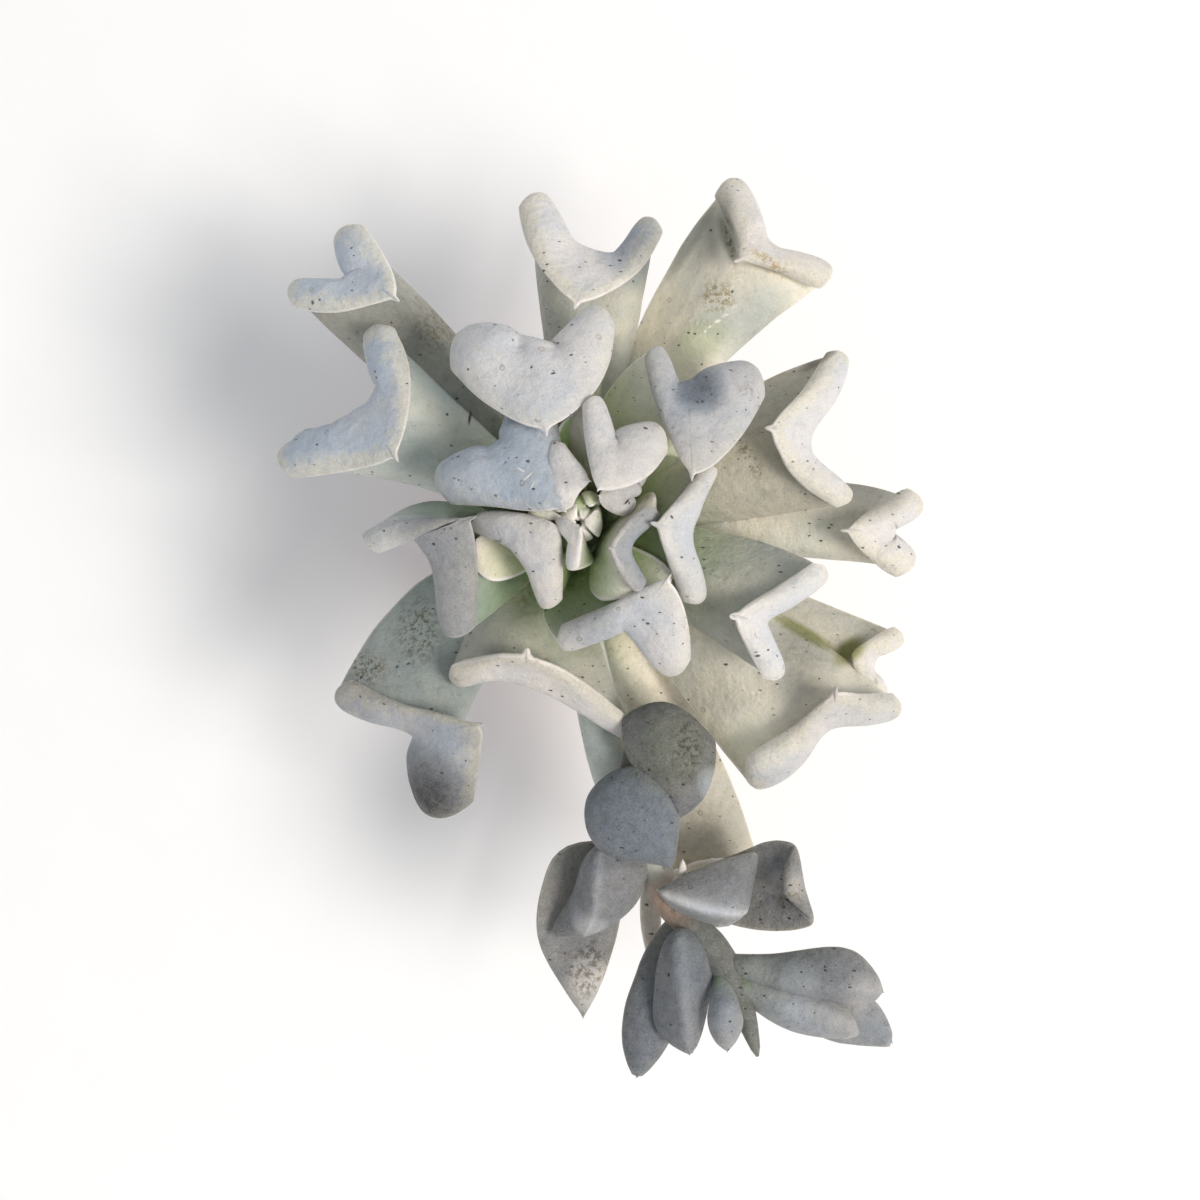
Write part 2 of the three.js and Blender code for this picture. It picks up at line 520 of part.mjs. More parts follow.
// Two skins, one on each side of the middle skin, by the heights that heightsAt gives there
function skinsOf(columns, places, count, widthAt, heightsAt) {
  const upper = [];
  const lower = [];
  for (const u of places) {
    const upperRow = [];
    const lowerRow = [];
    for (let j = 0; j <= count; j += 1) {
      const v = Math.sin((j / count - 0.5) * Math.PI);
      const used = v * widthAt(u);
      const middle = surfacePoint(columns, u, used);
      const facing = facingAt(columns, u, used);
      const [above, below] = heightsAt(u, v);
      upperRow.push(along(middle, facing, above));
      lowerRow.push(along(middle, facing, -below));
    }
    upper.push(upperRow);
    lower.push(lowerRow);
  }
  return [upper, lower];
}

function leafGeometry(leafShape) {
  const heights = (u, v) => {
    const half = halfThickness(leafShape, u, v);
    return [half * insideShare(u), half];
  };
  const [upper, lower] = skinsOf(leafColumns(leafShape), ALONG, ACROSS, usedWidth, heights);
  return bodyBetween(upper, lower);
}

// Bracts

const BRACT_ALONG = [0, 0.1, 0.27, 0.45, 0.62, 0.78, 0.92, 1];
const BRACT_ACROSS = 6;

// The net of a bract: its root row lies in the middle of the stalk, and its keel pulls the sides up
function bractColumns(shape) {
  const centre = curvePoint(STALK_LINE, shape.place);
  const side = shape.rows[0][2].clone().sub(shape.rows[0][0]).setLength(BRACT_ROOT);
  const rootRow = [centre.clone().sub(side), centre, centre.clone().add(side)];
  const rows = [rootRow, ...shape.rows];
  return [
    rows.map((row) => row[0]), rows.map((row) => mix(row[0], row[1], shape.keel)),
    rows.map((row) => row[1]), rows.map((row) => mix(row[2], row[1], shape.keel)),
    rows.map((row) => row[2]),
  ];
}

function bractSolid(shape) {
  const columns = bractColumns(shape);
  const heights = (u, v) => {
    const width = surfacePoint(columns, u, 1).distanceTo(surfacePoint(columns, u, -1));
    const thick = Math.min(shape.thick, 0.75 * width + 0.4);
    const across = Math.sqrt(Math.max(0, 1 - Math.abs(v) ** 2.6));
    const root = Math.sqrt(1 - clamp((0.05 - u) / 0.05, 0, 1) ** 2);
    const half = (thick / 2) * across * root * roundedEnd(u, 0.14);
    return [half, half];
  };
  const [upper, lower] = skinsOf(columns, BRACT_ALONG, BRACT_ACROSS, () => 1, heights);
  const body = solidOf(bodyBetween(upper, lower));
  return body.volume() > 0 ? body : solidOf(bodyBetween(lower, upper));
}

// Rounded bodies along a line: the stalk and the heart's small leaves

// Rings of points round a line, closed by a point at each end
function bodyAlong(rings, start, end) {
  const sides = rings[0].length;
  const vertices = [start, end, ...rings.flat()];
  const index = (ring, side) => 2 + ring * sides + (side % sides);
  const triangles = [];
  for (let k = 0; k < sides; k += 1) {
    triangles.push([0, index(0, k + 1), index(0, k)]);
    triangles.push([1, index(rings.length - 1, k), index(rings.length - 1, k + 1)]);
    for (let ring = 0; ring < rings.length - 1; ring += 1) {
      triangles.push([index(ring, k), index(ring, k + 1), index(ring + 1, k + 1)]);
      triangles.push([index(ring, k), index(ring + 1, k + 1), index(ring + 1, k)]);
    }
  }
  return geometryFrom(vertices, triangles);
}

function lineFrame(points, t, lift) {
  const before = curvePoint(points, Math.max(0, t - STEP));
  const forward = curvePoint(points, Math.min(1, t + STEP)).sub(before).normalize();
  const across = new THREE.Vector3().crossVectors(lift, forward).normalize();
  const face = new THREE.Vector3().crossVectors(forward, across);
  return { centre: curvePoint(points, t), across, face };
}

function stalkGeometry() {
  const rings = [];
  for (let i = 0; i <= STALK_RINGS; i += 1) {
    const t = i / STALK_RINGS;
    const { centre, across, face } = lineFrame(STALK_LINE, t, UP);
    const place = t * (STALK_RADII.length - 1);
    const whole = Math.min(Math.floor(place), STALK_RADII.length - 2);
    const radius = lerp(STALK_RADII[whole], STALK_RADII[whole + 1], place - whole);
    rings.push(Array.from({ length: STALK_SIDES }, (_, k) => {
      const angle = (k / STALK_SIDES) * 2 * Math.PI;
      return along(along(centre, across, radius * Math.cos(angle)), face, radius * Math.sin(angle));
    }));
  }
  return bodyAlong(rings, curvePoint(STALK_LINE, 0), along(curvePoint(STALK_LINE, 1), UP, 1));
}

// One over most of a line, and rounded off to nothing over the last part of it
const roundedEnd = (t, last) => Math.sqrt(1 - clamp((t - 1 + last) / last, 0, 1) ** 2);

const HEART_MESH = { sides: 8, rings: 5 };

// A fleshy blade: widest past its middle, rounded at the end, with turned-down sides
function bladeGeometry(points, wide, thick, mesh) {
  const length = points[0].distanceTo(points[points.length - 1]);
  const lift = curvePoint(points, 0.5).sub(mix(points[0], points[points.length - 1], 0.5));
  lift.addScaledVector(UP, 0.2 * length);
  const rings = [];
  for (let i = 0; i < mesh.rings; i += 1) {
    const t = lerp(0.02, 0.97, i / (mesh.rings - 1));
    const { centre, across, face } = lineFrame(points, t, lift);
    const widening = 0.35 + 0.65 * smooth(clamp(t / 0.55, 0, 1));
    const width = (wide / 2) * widening * roundedEnd(t, 0.4);
    const depth = (thick / 2) * (0.8 + 0.2 * Math.sin(Math.PI * t)) * roundedEnd(t, 0.25);
    rings.push(Array.from({ length: mesh.sides }, (_, k) => {
      const angle = (k / mesh.sides) * 2 * Math.PI;
      const sag = -0.16 * width * Math.cos(angle) ** 2;
      return along(along(centre, across, width * Math.cos(angle)), face, depth * Math.sin(angle) + sag);
    }));
  }
  return bodyAlong(rings, points[0], points[points.length - 1]);
}

// The pieces

function potSolid() {
  const innerFoot = POT_FOOT_RADIUS - POT_WALL;
  const innerRim = POT_RIM_RADIUS - POT_WALL + 0.8;
  const bandFoot = POT_HEIGHT - POT_BAND_HEIGHT;
  let pot = solidOf(lathed([
    [0, 0], [POT_FOOT_RADIUS - 1.5, 0], [POT_FOOT_RADIUS, 1.2], [POT_NECK_RADIUS, bandFoot],
    [POT_RIM_RADIUS - 1.2, bandFoot + 0.8], [POT_RIM_RADIUS - 0.6, bandFoot + 2.5],
    [POT_RIM_RADIUS, POT_HEIGHT - 2], [POT_RIM_RADIUS - 0.8, POT_HEIGHT - 0.4],
    [POT_RIM_RADIUS - 2.2, POT_HEIGHT],
    [innerRim, POT_HEIGHT - 1], [innerRim - 0.6, POT_HEIGHT - 3],
    [innerFoot, POT_FLOOR + 2], [innerFoot - 2, POT_FLOOR], [0, POT_FLOOR],
  ]));
  for (let k = 0; k < DRAINS; k += 1) {
    const angle = (k / DRAINS) * 2 * Math.PI + Math.PI / 2;
    const drill = new THREE.CylinderGeometry(DRAIN_RADIUS, DRAIN_RADIUS, 4 * POT_FLOOR, 20);
    drill.rotateX(Math.PI / 2).translate(DRAIN_CIRCLE * Math.cos(angle), DRAIN_CIRCLE * Math.sin(angle), 0);
    pot = pot.subtract(solidOf(drill));
  }
  return pot;
}

// Radius of the pot's inside at a height, which the soil follows
function potInside(height) {
  const innerFoot = POT_FOOT_RADIUS - POT_WALL;
  const innerRim = POT_RIM_RADIUS - POT_WALL + 0.2;
  return lerp(innerFoot, innerRim, (height - POT_FLOOR - 2) / (POT_HEIGHT - 3 - POT_FLOOR - 2));
}

function soilSolid() {
  const hole = STEM_NECK_RADIUS + GAP;
  const holeFoot = SOIL_LEVEL + SOIL_CROWN - STEM_DEPTH - GAP;
  return solidOf(lathed([
    [0, POT_FLOOR + GAP], [potInside(POT_FLOOR) - 2.5, POT_FLOOR + GAP],
    [potInside(POT_FLOOR + 2) - GAP, POT_FLOOR + 2.4], [potInside(SOIL_LEVEL) - GAP, SOIL_LEVEL],
    [25, SOIL_LEVEL + 0.6 * SOIL_CROWN], [hole + 3, SOIL_LEVEL + SOIL_CROWN],
    [hole, SOIL_LEVEL + SOIL_CROWN], [hole, holeFoot], [0, holeFoot],
  ]));
}

// The stem, with rings of scars where old leaves have dropped
function stemSolid() {
  const foot = SOIL_LEVEL + SOIL_CROWN - STEM_DEPTH;
  const barkFoot = SOIL_LEVEL + SOIL_CROWN;
  const neck = STEM_NECK_RADIUS;
  const profile = [[0, foot], [neck - 1, foot], [neck, foot + 2], [neck, barkFoot]];
  for (let k = 0; k < SCAR_RINGS; k += 1) {
    const low = lerp(barkFoot, BARK_TOP, (k + 0.3) / SCAR_RINGS);
    const high = lerp(barkFoot, BARK_TOP, (k + 0.8) / SCAR_RINGS);
    const radius = lerp(STEM_NECK_RADIUS, STEM_RADIUS, (k + 1) / SCAR_RINGS);
    profile.push([radius - SCAR_DEPTH, low], [radius, high]);
  }
  profile.push([STEM_RADIUS, STEM_TOP - 4], [STEM_RADIUS - 2, STEM_TOP - 1], [0, STEM_TOP]);
  return solidOf(lathed(profile, STEM_SIDES));
}

function heartSolid() {
  const foot = STEM_TOP + GAP;
  const { core, rise, height, spread, wide, thick } = HEART;
  let heart = solidOf(lathed([
    [0, foot], [core - 0.5, foot], [core, foot + 0.4 * rise], [0.6 * core, foot + 0.9 * rise], [0, foot + rise],
  ], 16));
  for (let k = 0; k < HEART.leaves; k += 1) {
    const bearing = radians(HEART.turn * k);
    const young = k / HEART.leaves;
    const outward = new THREE.Vector3(Math.cos(bearing), Math.sin(bearing), 0);
    const at = (out, up) => along(new THREE.Vector3(0, 0, foot + up), outward, out);
    const reach = spread * (1 - 0.75 * young);
    const top = height * (1 - 0.25 * young);
    const line = [at(1.5, 3), at(0.8 * reach, 0.45 * top), at(reach, 0.8 * top),
      at(0.75 * reach, top), at(0.35 * reach, top)];
    const blade = bladeGeometry(line, wide * (1 - 0.5 * young), thick * (1 - 0.3 * young), HEART_MESH);
    heart = heart.add(solidOf(blade));
  }
  return tidied(heart);
}

function stalkSolid() {
  return wasm.Manifold.union([solidOf(stalkGeometry()), ...BRACTS.map(bractSolid)]);
}

// Assembly: every leaf is cut clear of the pieces above it, which keep their whole shape

const finish = (name, color, roughness) => {
  const material = new THREE.MeshStandardMaterial({ color, roughness, metalness: 0 });
  material.name = name;
  return material;
};

const CLAY = finish('clay', 0xb5694a, 0.9);
const EARTH = finish('earth', 0x3f342b, 1);
const BARK = finish('bark', 0x8d7d62, 0.9);
const FARINA = finish('farina', 0xbfc4c6, 0.75);
const YOUNG = finish('young leaf', 0xb9c8a8, 0.7);
const BLOOM_STALK = finish('bloom stalk', 0xaeb1b3, 0.75);

const plant = new THREE.Group();

function addPiece(name, solid, material) {
  const piece = new THREE.Mesh(geometryOf(solid), material);
  piece.name = name;
  plant.add(piece);
}

const stem = stemSolid();
const heart = heartSolid();
const stalk = tidied(stalkSolid().subtract(swollen(stem, CUT_GAP)));
addPiece('pot', potSolid(), CLAY);
addPiece('soil', soilSolid(), EARTH);
addPiece('stem', stem, BARK);
addPiece('heart_bud', heart, YOUNG);
addPiece('flower_stalk', stalk, BLOOM_STALK);

const inTheWay = [stem, heart, stalk].map((solid) => swollen(solid, CUT_GAP));
for (const leafShape of [...INNER_LEAVES, ...MIDDLE_LEAVES, ...OUTER_LEAVES]) {
  const whole = solidOf(leafGeometry(leafShape));
  const clear = tidied(whole.subtract(wasm.Manifold.union(inTheWay)));
  addPiece(leafShape.name, clear, FARINA);
  inTheWay.push(swollen(clear, CUT_GAP));
}

export default plant;
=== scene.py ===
# %% [markdown]
# # A potted topsy turvy echeveria
# This lesson builds one succulent in a clay pot. Its leaves are folded down along
# their sides, and their ends curl up and back toward the heart, so from above each
# leaf shows a heart-shaped plate. The solid model gives the places and the sizes.
# Here every piece gets its fine shape and its finish, and then it is lit.

# %% Load the frame
import math
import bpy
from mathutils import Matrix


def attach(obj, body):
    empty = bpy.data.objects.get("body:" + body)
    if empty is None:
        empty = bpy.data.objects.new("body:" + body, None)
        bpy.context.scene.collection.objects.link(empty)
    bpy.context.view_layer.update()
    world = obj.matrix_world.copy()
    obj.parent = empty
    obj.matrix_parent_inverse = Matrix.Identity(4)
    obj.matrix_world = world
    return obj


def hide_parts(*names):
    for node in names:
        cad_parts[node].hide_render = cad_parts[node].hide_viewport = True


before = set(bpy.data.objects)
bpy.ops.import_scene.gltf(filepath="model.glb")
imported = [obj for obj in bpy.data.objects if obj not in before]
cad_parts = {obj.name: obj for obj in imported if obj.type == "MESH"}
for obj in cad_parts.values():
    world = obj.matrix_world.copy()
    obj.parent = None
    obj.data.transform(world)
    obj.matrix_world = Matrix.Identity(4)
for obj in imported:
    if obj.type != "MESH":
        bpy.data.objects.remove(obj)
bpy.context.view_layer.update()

from types import SimpleNamespace

import bmesh
import bpy
import numpy as np
from mathutils import Vector, noise

MM = 0.001
print("nodes to dress:", len(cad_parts))

# %% [markdown]
# ## The camera
# The photograph looks straight down on the rosette. The solid model was measured
# with a camera 450 mm above the leaves, so the same one is used here: a 50 mm lens
# with its image's upper edge toward +Y.

# %% Set up the camera
CAMERA_PLACE = (5.4, -20.25, 580.0)
CAMERA_LENS = 50.0
FILM_WIDTH = 36.0


def set_camera():
    data = bpy.data.cameras.new("camera")
    data.lens = CAMERA_LENS
    data.sensor_width = FILM_WIDTH
    camera = bpy.data.objects.new("camera", data)
    camera.location = [value * MM for value in CAMERA_PLACE]
    bpy.context.collection.objects.link(camera)
    bpy.context.scene.camera = camera
    return camera


print("camera looks down from", set_camera().location[:])

# %% [markdown]
# ## Smooth curves
# A leaf has no straight line in it. A B-spline turns a few control points into a
# smooth line, and a net of them into a smooth skin that starts and ends on the
# net's border. The weights are worked out once and shared by lines and skins.

# %% Weights of a smooth line
UP = np.array([0.0, 0.0, 1.0])
DEGREE = 3


def spline_weights(count, places):
    """The weight of each of count control points at each place from 0 to 1."""
    inner = np.linspace(0, 1, count - DEGREE + 1)
    knots = np.concatenate([np.zeros(DEGREE), inner, np.ones(DEGREE)])
    at = np.clip(places, 0, 1 - 1e-9).ravel()[:, None]
    weights = ((at >= knots[:-1]) & (at < knots[1:])).astype(float)
    for order in range(1, DEGREE + 1):
        low, high = knots[:-order - 1], knots[order + 1:]
        before = knots[order:-1] - low
        after = high - knots[1:-order]
        rising = np.where(before > 0, (at - low) / np.where(before > 0, before, 1), 0)
        falling = np.where(after > 0, (high - at) / np.where(after > 0, after, 1), 0)
        weights = rising * weights[:, :-1] + falling * weights[:, 1:]
    return weights


def curve_points(points, places):
    return spline_weights(len(points), places) @ np.asarray(points, float)


def unit(vector):
    return vector / max(np.linalg.norm(vector), 1e-9)


def flat(vector):
    return unit(vector * [1, 1, 0])


def mix(start, end, share):
    return start + (end - start) * share


def smooth(share):
    share = np.clip(share, 0, 1)
    return share * share * (3 - 2 * share)


def eased(steps):
    """Places from -1 to 1 that lie closer together toward both ends."""
    return np.sin(np.linspace(-1, 1, steps + 1) * math.pi / 2)


def round_off(share):
    """One up to share 0, then down to nothing at share 1, as a quarter circle."""
    return np.sqrt(np.clip(1 - np.clip(share, 0, 1) ** 2, 0, 1))


print("weights add up to", spline_weights(8, np.array([0.3])).sum())

# %% [markdown]
# ## How one leaf is described
# A leaf of this plant is a thick wedge. It is folded down along its sides, and its
# far end turns up and rolls back toward the heart, so its outer corners become two
# rounded lobes with a notch between them. A few places tell all of that: where the
# root is, the middle of the outer fold, the tip that rolls back, and for each lobe
# its tip and its neck. These are the same real sizes as in the solid model.

# %% The words for a leaf, in millimetres
def lobe(tip, reach, neck, waist):
    """A rounded corner: its tip, half its width there, and its neck seen from above."""
    return SimpleNamespace(tip=np.array(tip, float), reach=reach, neck=neck, waist=waist)


def nudge(place, reach, move, part="plate", turned=0.0):
    """Within reach (along, across) of a place seen from above, the skin moves by move."""
    return SimpleNamespace(place=place, reach=reach, move=np.array(move, float),
                           part=part, turned=math.radians(turned))


def leaf(name, root, fold, tip, left, right, root_width=6.0, thick=5.0, turn=4.0,
         belly_left=2.0, belly_right=2.0, side_left=(0, 0), side_right=(0, 0), droop=5.0,
         spike=2.6, nudges=()):
    """Root is a bearing round the stem and a height; left and right are as seen from it.

    The side words tell how far a side stands out, a third and two thirds along it, and
    droop how far the sides hang down: below zero they stand up, as in the heart.
    """
    return SimpleNamespace(
        name=name, bearing=math.radians(root[0]), root_height=root[1],
        fold=np.array(fold, float), tip=np.array(tip, float), left=left, right=right,
        root_width=root_width, thick=thick, turn=turn, belly_left=belly_left,
        belly_right=belly_right, side_left=side_left, side_right=side_right, droop=droop,
        spike=spike, nudges=nudges)


# %% [markdown]
# ## The rosette's leaves
# The five inner leaves stand round the heart, eight middle ones lean out past them,
# and eleven large ones spread below.

# %% The inner leaves
INNER_LEAVES = [
    leaf("inner_leaf_01", [75, 123], [9.5, 22, 150], [4, 6.5, 158],
         lobe([3.5, 32.5, 147], 3, [5.5, 22], 4), lobe([21.5, 24, 146], 5, [13.5, 17], 7.5),
         root_width=5, thick=4, turn=3, belly_left=0, belly_right=1, side_left=(6, 6),
         side_right=(3, 2), droop=-1, spike=1.2),
    leaf("inner_leaf_02", [20, 125], [17.5, 8.5, 144], [4.5, 6.5, 150.5],
         lobe([17, 14.5, 142], 3, [12.5, 11.5], 3.5), lobe([14.5, 4.2, 142], 3, [10, 5.2], 3.2),
         root_width=4, thick=2.4, turn=2.5, belly_left=0, belly_right=1.5, side_left=(3, 2),
         side_right=(2, 1), droop=-2, spike=0.6),
    leaf("inner_leaf_03", [142, 125], [-7.5, 13, 146], [3, 10, 153],
         lobe([-5, 3, 145], 3, [-4.5, 8], 4), lobe([-6.5, 21, 145], 2.4, [-5, 16], 3.4),
         root_width=4, thick=3.5, turn=2.5, belly_left=0, belly_right=1, droop=-1, spike=0.8),
    leaf("inner_leaf_04", [-35, 124], [13.5, -7, 149], [7.5, -7, 156],
         lobe([20, 3, 146], 2.5, [13.5, -1.5], 2.5),
         lobe([17, -17.5, 146], 2.5, [12.5, -12.5], 2.5),
         root_width=7, thick=3.4, turn=3, belly_left=0, belly_right=0, side_left=(9, 6),
         side_right=(9, 7), droop=-5, spike=0.8),
    leaf("inner_leaf_05", [262, 124], [-2.5, -6, 149], [1, -1.5, 155],
         lobe([-2, -12.5, 146], 2, [-1, -7], 2), lobe([-5.5, 1, 146], 2, [-3.5, -1], 2),
         root_width=4, thick=3, turn=2.5, belly_left=0, belly_right=0, side_left=(3, 2),
         side_right=(2, 2), droop=-2, spike=0.4),
]

# %% The middle leaves
MIDDLE_LEAVES = [
    leaf("middle_leaf_01", [104, 108], [-13, 49.5, 140], [-8.5, 22.5, 152],
         lobe([-33, 49.5, 134], 7, [-23, 42.5], 9.5), lobe([5.5, 57.5, 135], 5, [0, 42.5], 8.5),
         nudges=[nudge((-10.9, 44), (6, 2), (0, 0, 1.0), turned=90),
                 nudge((-16, 45), (4, 3), (0, 0, -1.6)),
                 nudge((-5.4, 45), (4, 3), (0, 0, -1.6))]),
    leaf("middle_leaf_02", [45, 115], [28.5, 38, 140], [28.5, 10, 153],
         lobe([20, 47, 135], 3, [23, 34], 4), lobe([47.5, 41, 133], 6, [37.5, 32], 9.5),
         belly_left=0, side_left=(8, 7)),
    leaf("middle_leaf_03", [162, 120], [-23.5, 20.5, 140], [-3.5, 2.5, 151],
         lobe([-38, 11.5, 133], 6, [-25, 12.5], 7.5), lobe([-13.5, 32.5, 134], 6, [-13, 22], 7.5),
         belly_left=1, belly_right=1),
    leaf("middle_leaf_04", [195, 109], [-44.5, -3.5, 136], [-28, 2.5, 147],
         lobe([-33.5, -30, 129], 5, [-32.5, -13.5], 5.5),
         lobe([-58.5, -4.5, 129], 4.5, [-48, 0.5], 5.5), belly_left=0, belly_right=3,
         side_right=(5, 13)),
    leaf("middle_leaf_05", [226, 119], [-18, -7, 141], [-4.5, -1, 149],
         lobe([-8, -22.5, 135], 3.5, [-9, -12], 4.5), lobe([-28.5, 0.5, 135], 3, [-19.5, -1], 4),
         belly_left=0, spike=0.8),
    leaf("middle_leaf_06", [-62, 114], [11, -28, 139], [23, -13.5, 151],
         lobe([26, -40, 133], 4.5, [22.5, -31], 7), lobe([-5.5, -31.5, 133], 4, [9, -25.5], 3.5),
         root_width=8, belly_left=1, belly_right=0, side_right=(8, 5), droop=2),
    leaf("middle_leaf_07", [8, 118], [29.5, -3, 142], [19.5, -0.5, 152],
         lobe([35.5, 15, 138], 2.2, [29.5, 6], 3), lobe([31.5, -21, 137], 4, [27.5, -12], 3.5),
         root_width=8, belly_left=0, belly_right=0, side_left=(10, 6), droop=1),
    leaf("middle_leaf_08", [-25, 110], [50.5, -25, 131], [40.5, -24.5, 143],
         lobe([67, -12, 126], 4, [54.5, -19.5], 3), lobe([54, -41.5, 126], 4, [48, -31.5], 4),
         belly_left=0, belly_right=0, side_left=(4, 4)),
]

# %% The outer leaves
OUTER_LEAVES = [
    leaf("outer_leaf_01", [134, 92], [-64, 73, 114], [-49, 61.5, 128],
         lobe([-82.5, 67.5, 109], 4.5, [-68.5, 63.5], 5),
         lobe([-67, 84.5, 110], 5.5, [-60, 73], 6),
         belly_left=0, side_right=(3, 5)),
    leaf("outer_leaf_02", [165, 103], [-59, 33.5, 120], [-49, 17, 134],
         lobe([-84.5, 18.5, 112], 5, [-67, 22], 7.5),
         lobe([-57.5, 55.5, 117], 5.2, [-51, 41.5], 6),
         belly_left=0, belly_right=3, side_left=(-7, -6),
         nudges=[nudge((-56, 39), (4, 4), (1.6, 0.4, 0)),
                 nudge((-61.5, 32), (4, 4), (-1.6, 1.2, 0)),
                 nudge((-69, 28), (4, 4), (1.2, -1.4, 0)),
                 nudge((-76, 24), (4, 3), (-0.6, 1.0, 0))]),
    leaf("outer_leaf_03", [88, 99], [5.5, 76, 121], [-1, 57.5, 136],
         lobe([-13, 92.5, 117], 5, [-9, 77], 6), lobe([20, 85.5, 117], 4, [14, 72.5], 5),
         belly_left=1),
    leaf("outer_leaf_04", [58, 104], [53.5, 77.5, 119], [43, 72.5, 127],
         lobe([41.5, 97, 114], 5.5, [46.5, 81.5], 3.5),
         lobe([70, 70.5, 113], 4.5, [57.5, 72.5], 3),
         turn=3, thick=5.5, belly_left=0, belly_right=0, side_left=(5, 6),
         side_right=(-8, -8),
         nudges=[nudge((39, 82), (14, 5), (0, 0, -2), "blade", 90)]),
    leaf("outer_leaf_05", [26, 102], [63.5, 25.5, 121], [50, 26, 134],
         lobe([72.5, 48.5, 117], 4, [67, 37.5], 4.5), lobe([75, 7.5, 116], 4, [61.5, 15], 4.5),
         belly_left=0, belly_right=0, side_left=(3, 6)),
    leaf("outer_leaf_06", [0, 93], [89, -1, 110], [72.5, -1, 121],
         lobe([96.5, 8, 106], 4.5, [86, 4], 4), lobe([94, -10.5, 106], 5, [85, -6], 5),
         belly_left=0, belly_right=1, side_left=(4, 9), side_right=(-2, -3)),
    leaf("outer_leaf_07", [-20, 88], [84.5, -39.5, 99], [76.5, -35.5, 105],
         lobe([93.5, -30.5, 95], 3.5, [85.5, -33], 2.6),
         lobe([88, -49, 94], 3.5, [83.5, -44], 2.6),
         thick=3, turn=2.4, belly_left=0, belly_right=0, spike=0.2),
    leaf("outer_leaf_08", [-43, 100], [68, -56.5, 113], [70, -45, 125],
         lobe([90.5, -50.5, 108], 4.5, [78.5, -51], 4.5),
         lobe([47.5, -71.5, 108], 6.5, [60, -61], 4.5),
         belly_left=0, belly_right=0, side_left=(4, 5)),
    leaf("outer_leaf_09", [-62, 89], [38, -106, 87], [38, -96, 95],
         lobe([54, -104, 84], 4.5, [46, -101.5], 4),
         lobe([24.5, -106.5, 84], 4.5, [30.5, -103], 4),
         side_left=(3, 4), spike=0.3),
    leaf("outer_leaf_10", [-110, 102], [-16.5, -44.5, 111], [-15, -35.5, 124],
         lobe([15.5, -59.5, 106], 3.5, [-2, -46], 5), lobe([-37, -43, 107], 4.5, [-28.5, -39], 3),
         side_left=(-5, -6), side_right=(15, 6)),
    leaf("outer_leaf_11", [-142, 91], [-48.5, -57, 105], [-27, -55, 116],
         lobe([-39.5, -82.5, 99], 8, [-38.5, -62], 9.5),
         lobe([-70, -46.5, 101], 4.5, [-57, -51.5], 3),
         belly_left=0, belly_right=0, side_left=(-6, -14), side_right=(13, 11)),
]
LEAVES = INNER_LEAVES + MIDDLE_LEAVES + OUTER_LEAVES
print("leaves described:", len(LEAVES))

# %% [markdown]
# ## The net of a leaf
# Nine lines run from the root out to the fold, round it and back to the rolled edge:
# one down the middle, one beside it, one through each neck and two near each lobe's
# tip. Every line has eight control points, so nine lines of eight make the net.

# %% One line of a leaf
STEM_RADIUS = 7.8
ROOT_REACH = STEM_RADIUS - 0.6
ARCH = 2.0


def folded_line(root, fold, edge, turn, half, rise, outward, crown):
    """From the root to the fold, round the fold and back to the rolled edge."""
    centre = fold - outward * (half + turn)
    under = centre - UP * 1.1 * turn - outward * 0.2 * turn
    rounding = centre + outward * 1.45 * turn
    over = centre + UP * 1.15 * turn - outward * 0.1 * turn
    return np.array([
        root,
        mix(root, under, 0.36) + UP * rise,
        mix(root, under, 0.7) + UP * 1.1 * rise,
        under,
        rounding,
        over,
        mix(over, edge, 0.5) + UP * crown,
        edge,
    ])


# %% The lines of one half of a leaf
def root_point(shape, side, share):
    outward = np.array([math.cos(shape.bearing), math.sin(shape.bearing), 0])
    sideways = np.array([-outward[1], outward[0], 0]) * side
    middle = outward * ROOT_REACH + UP * shape.root_height
    return middle + sideways * share * shape.root_width - UP * 2 * share * share


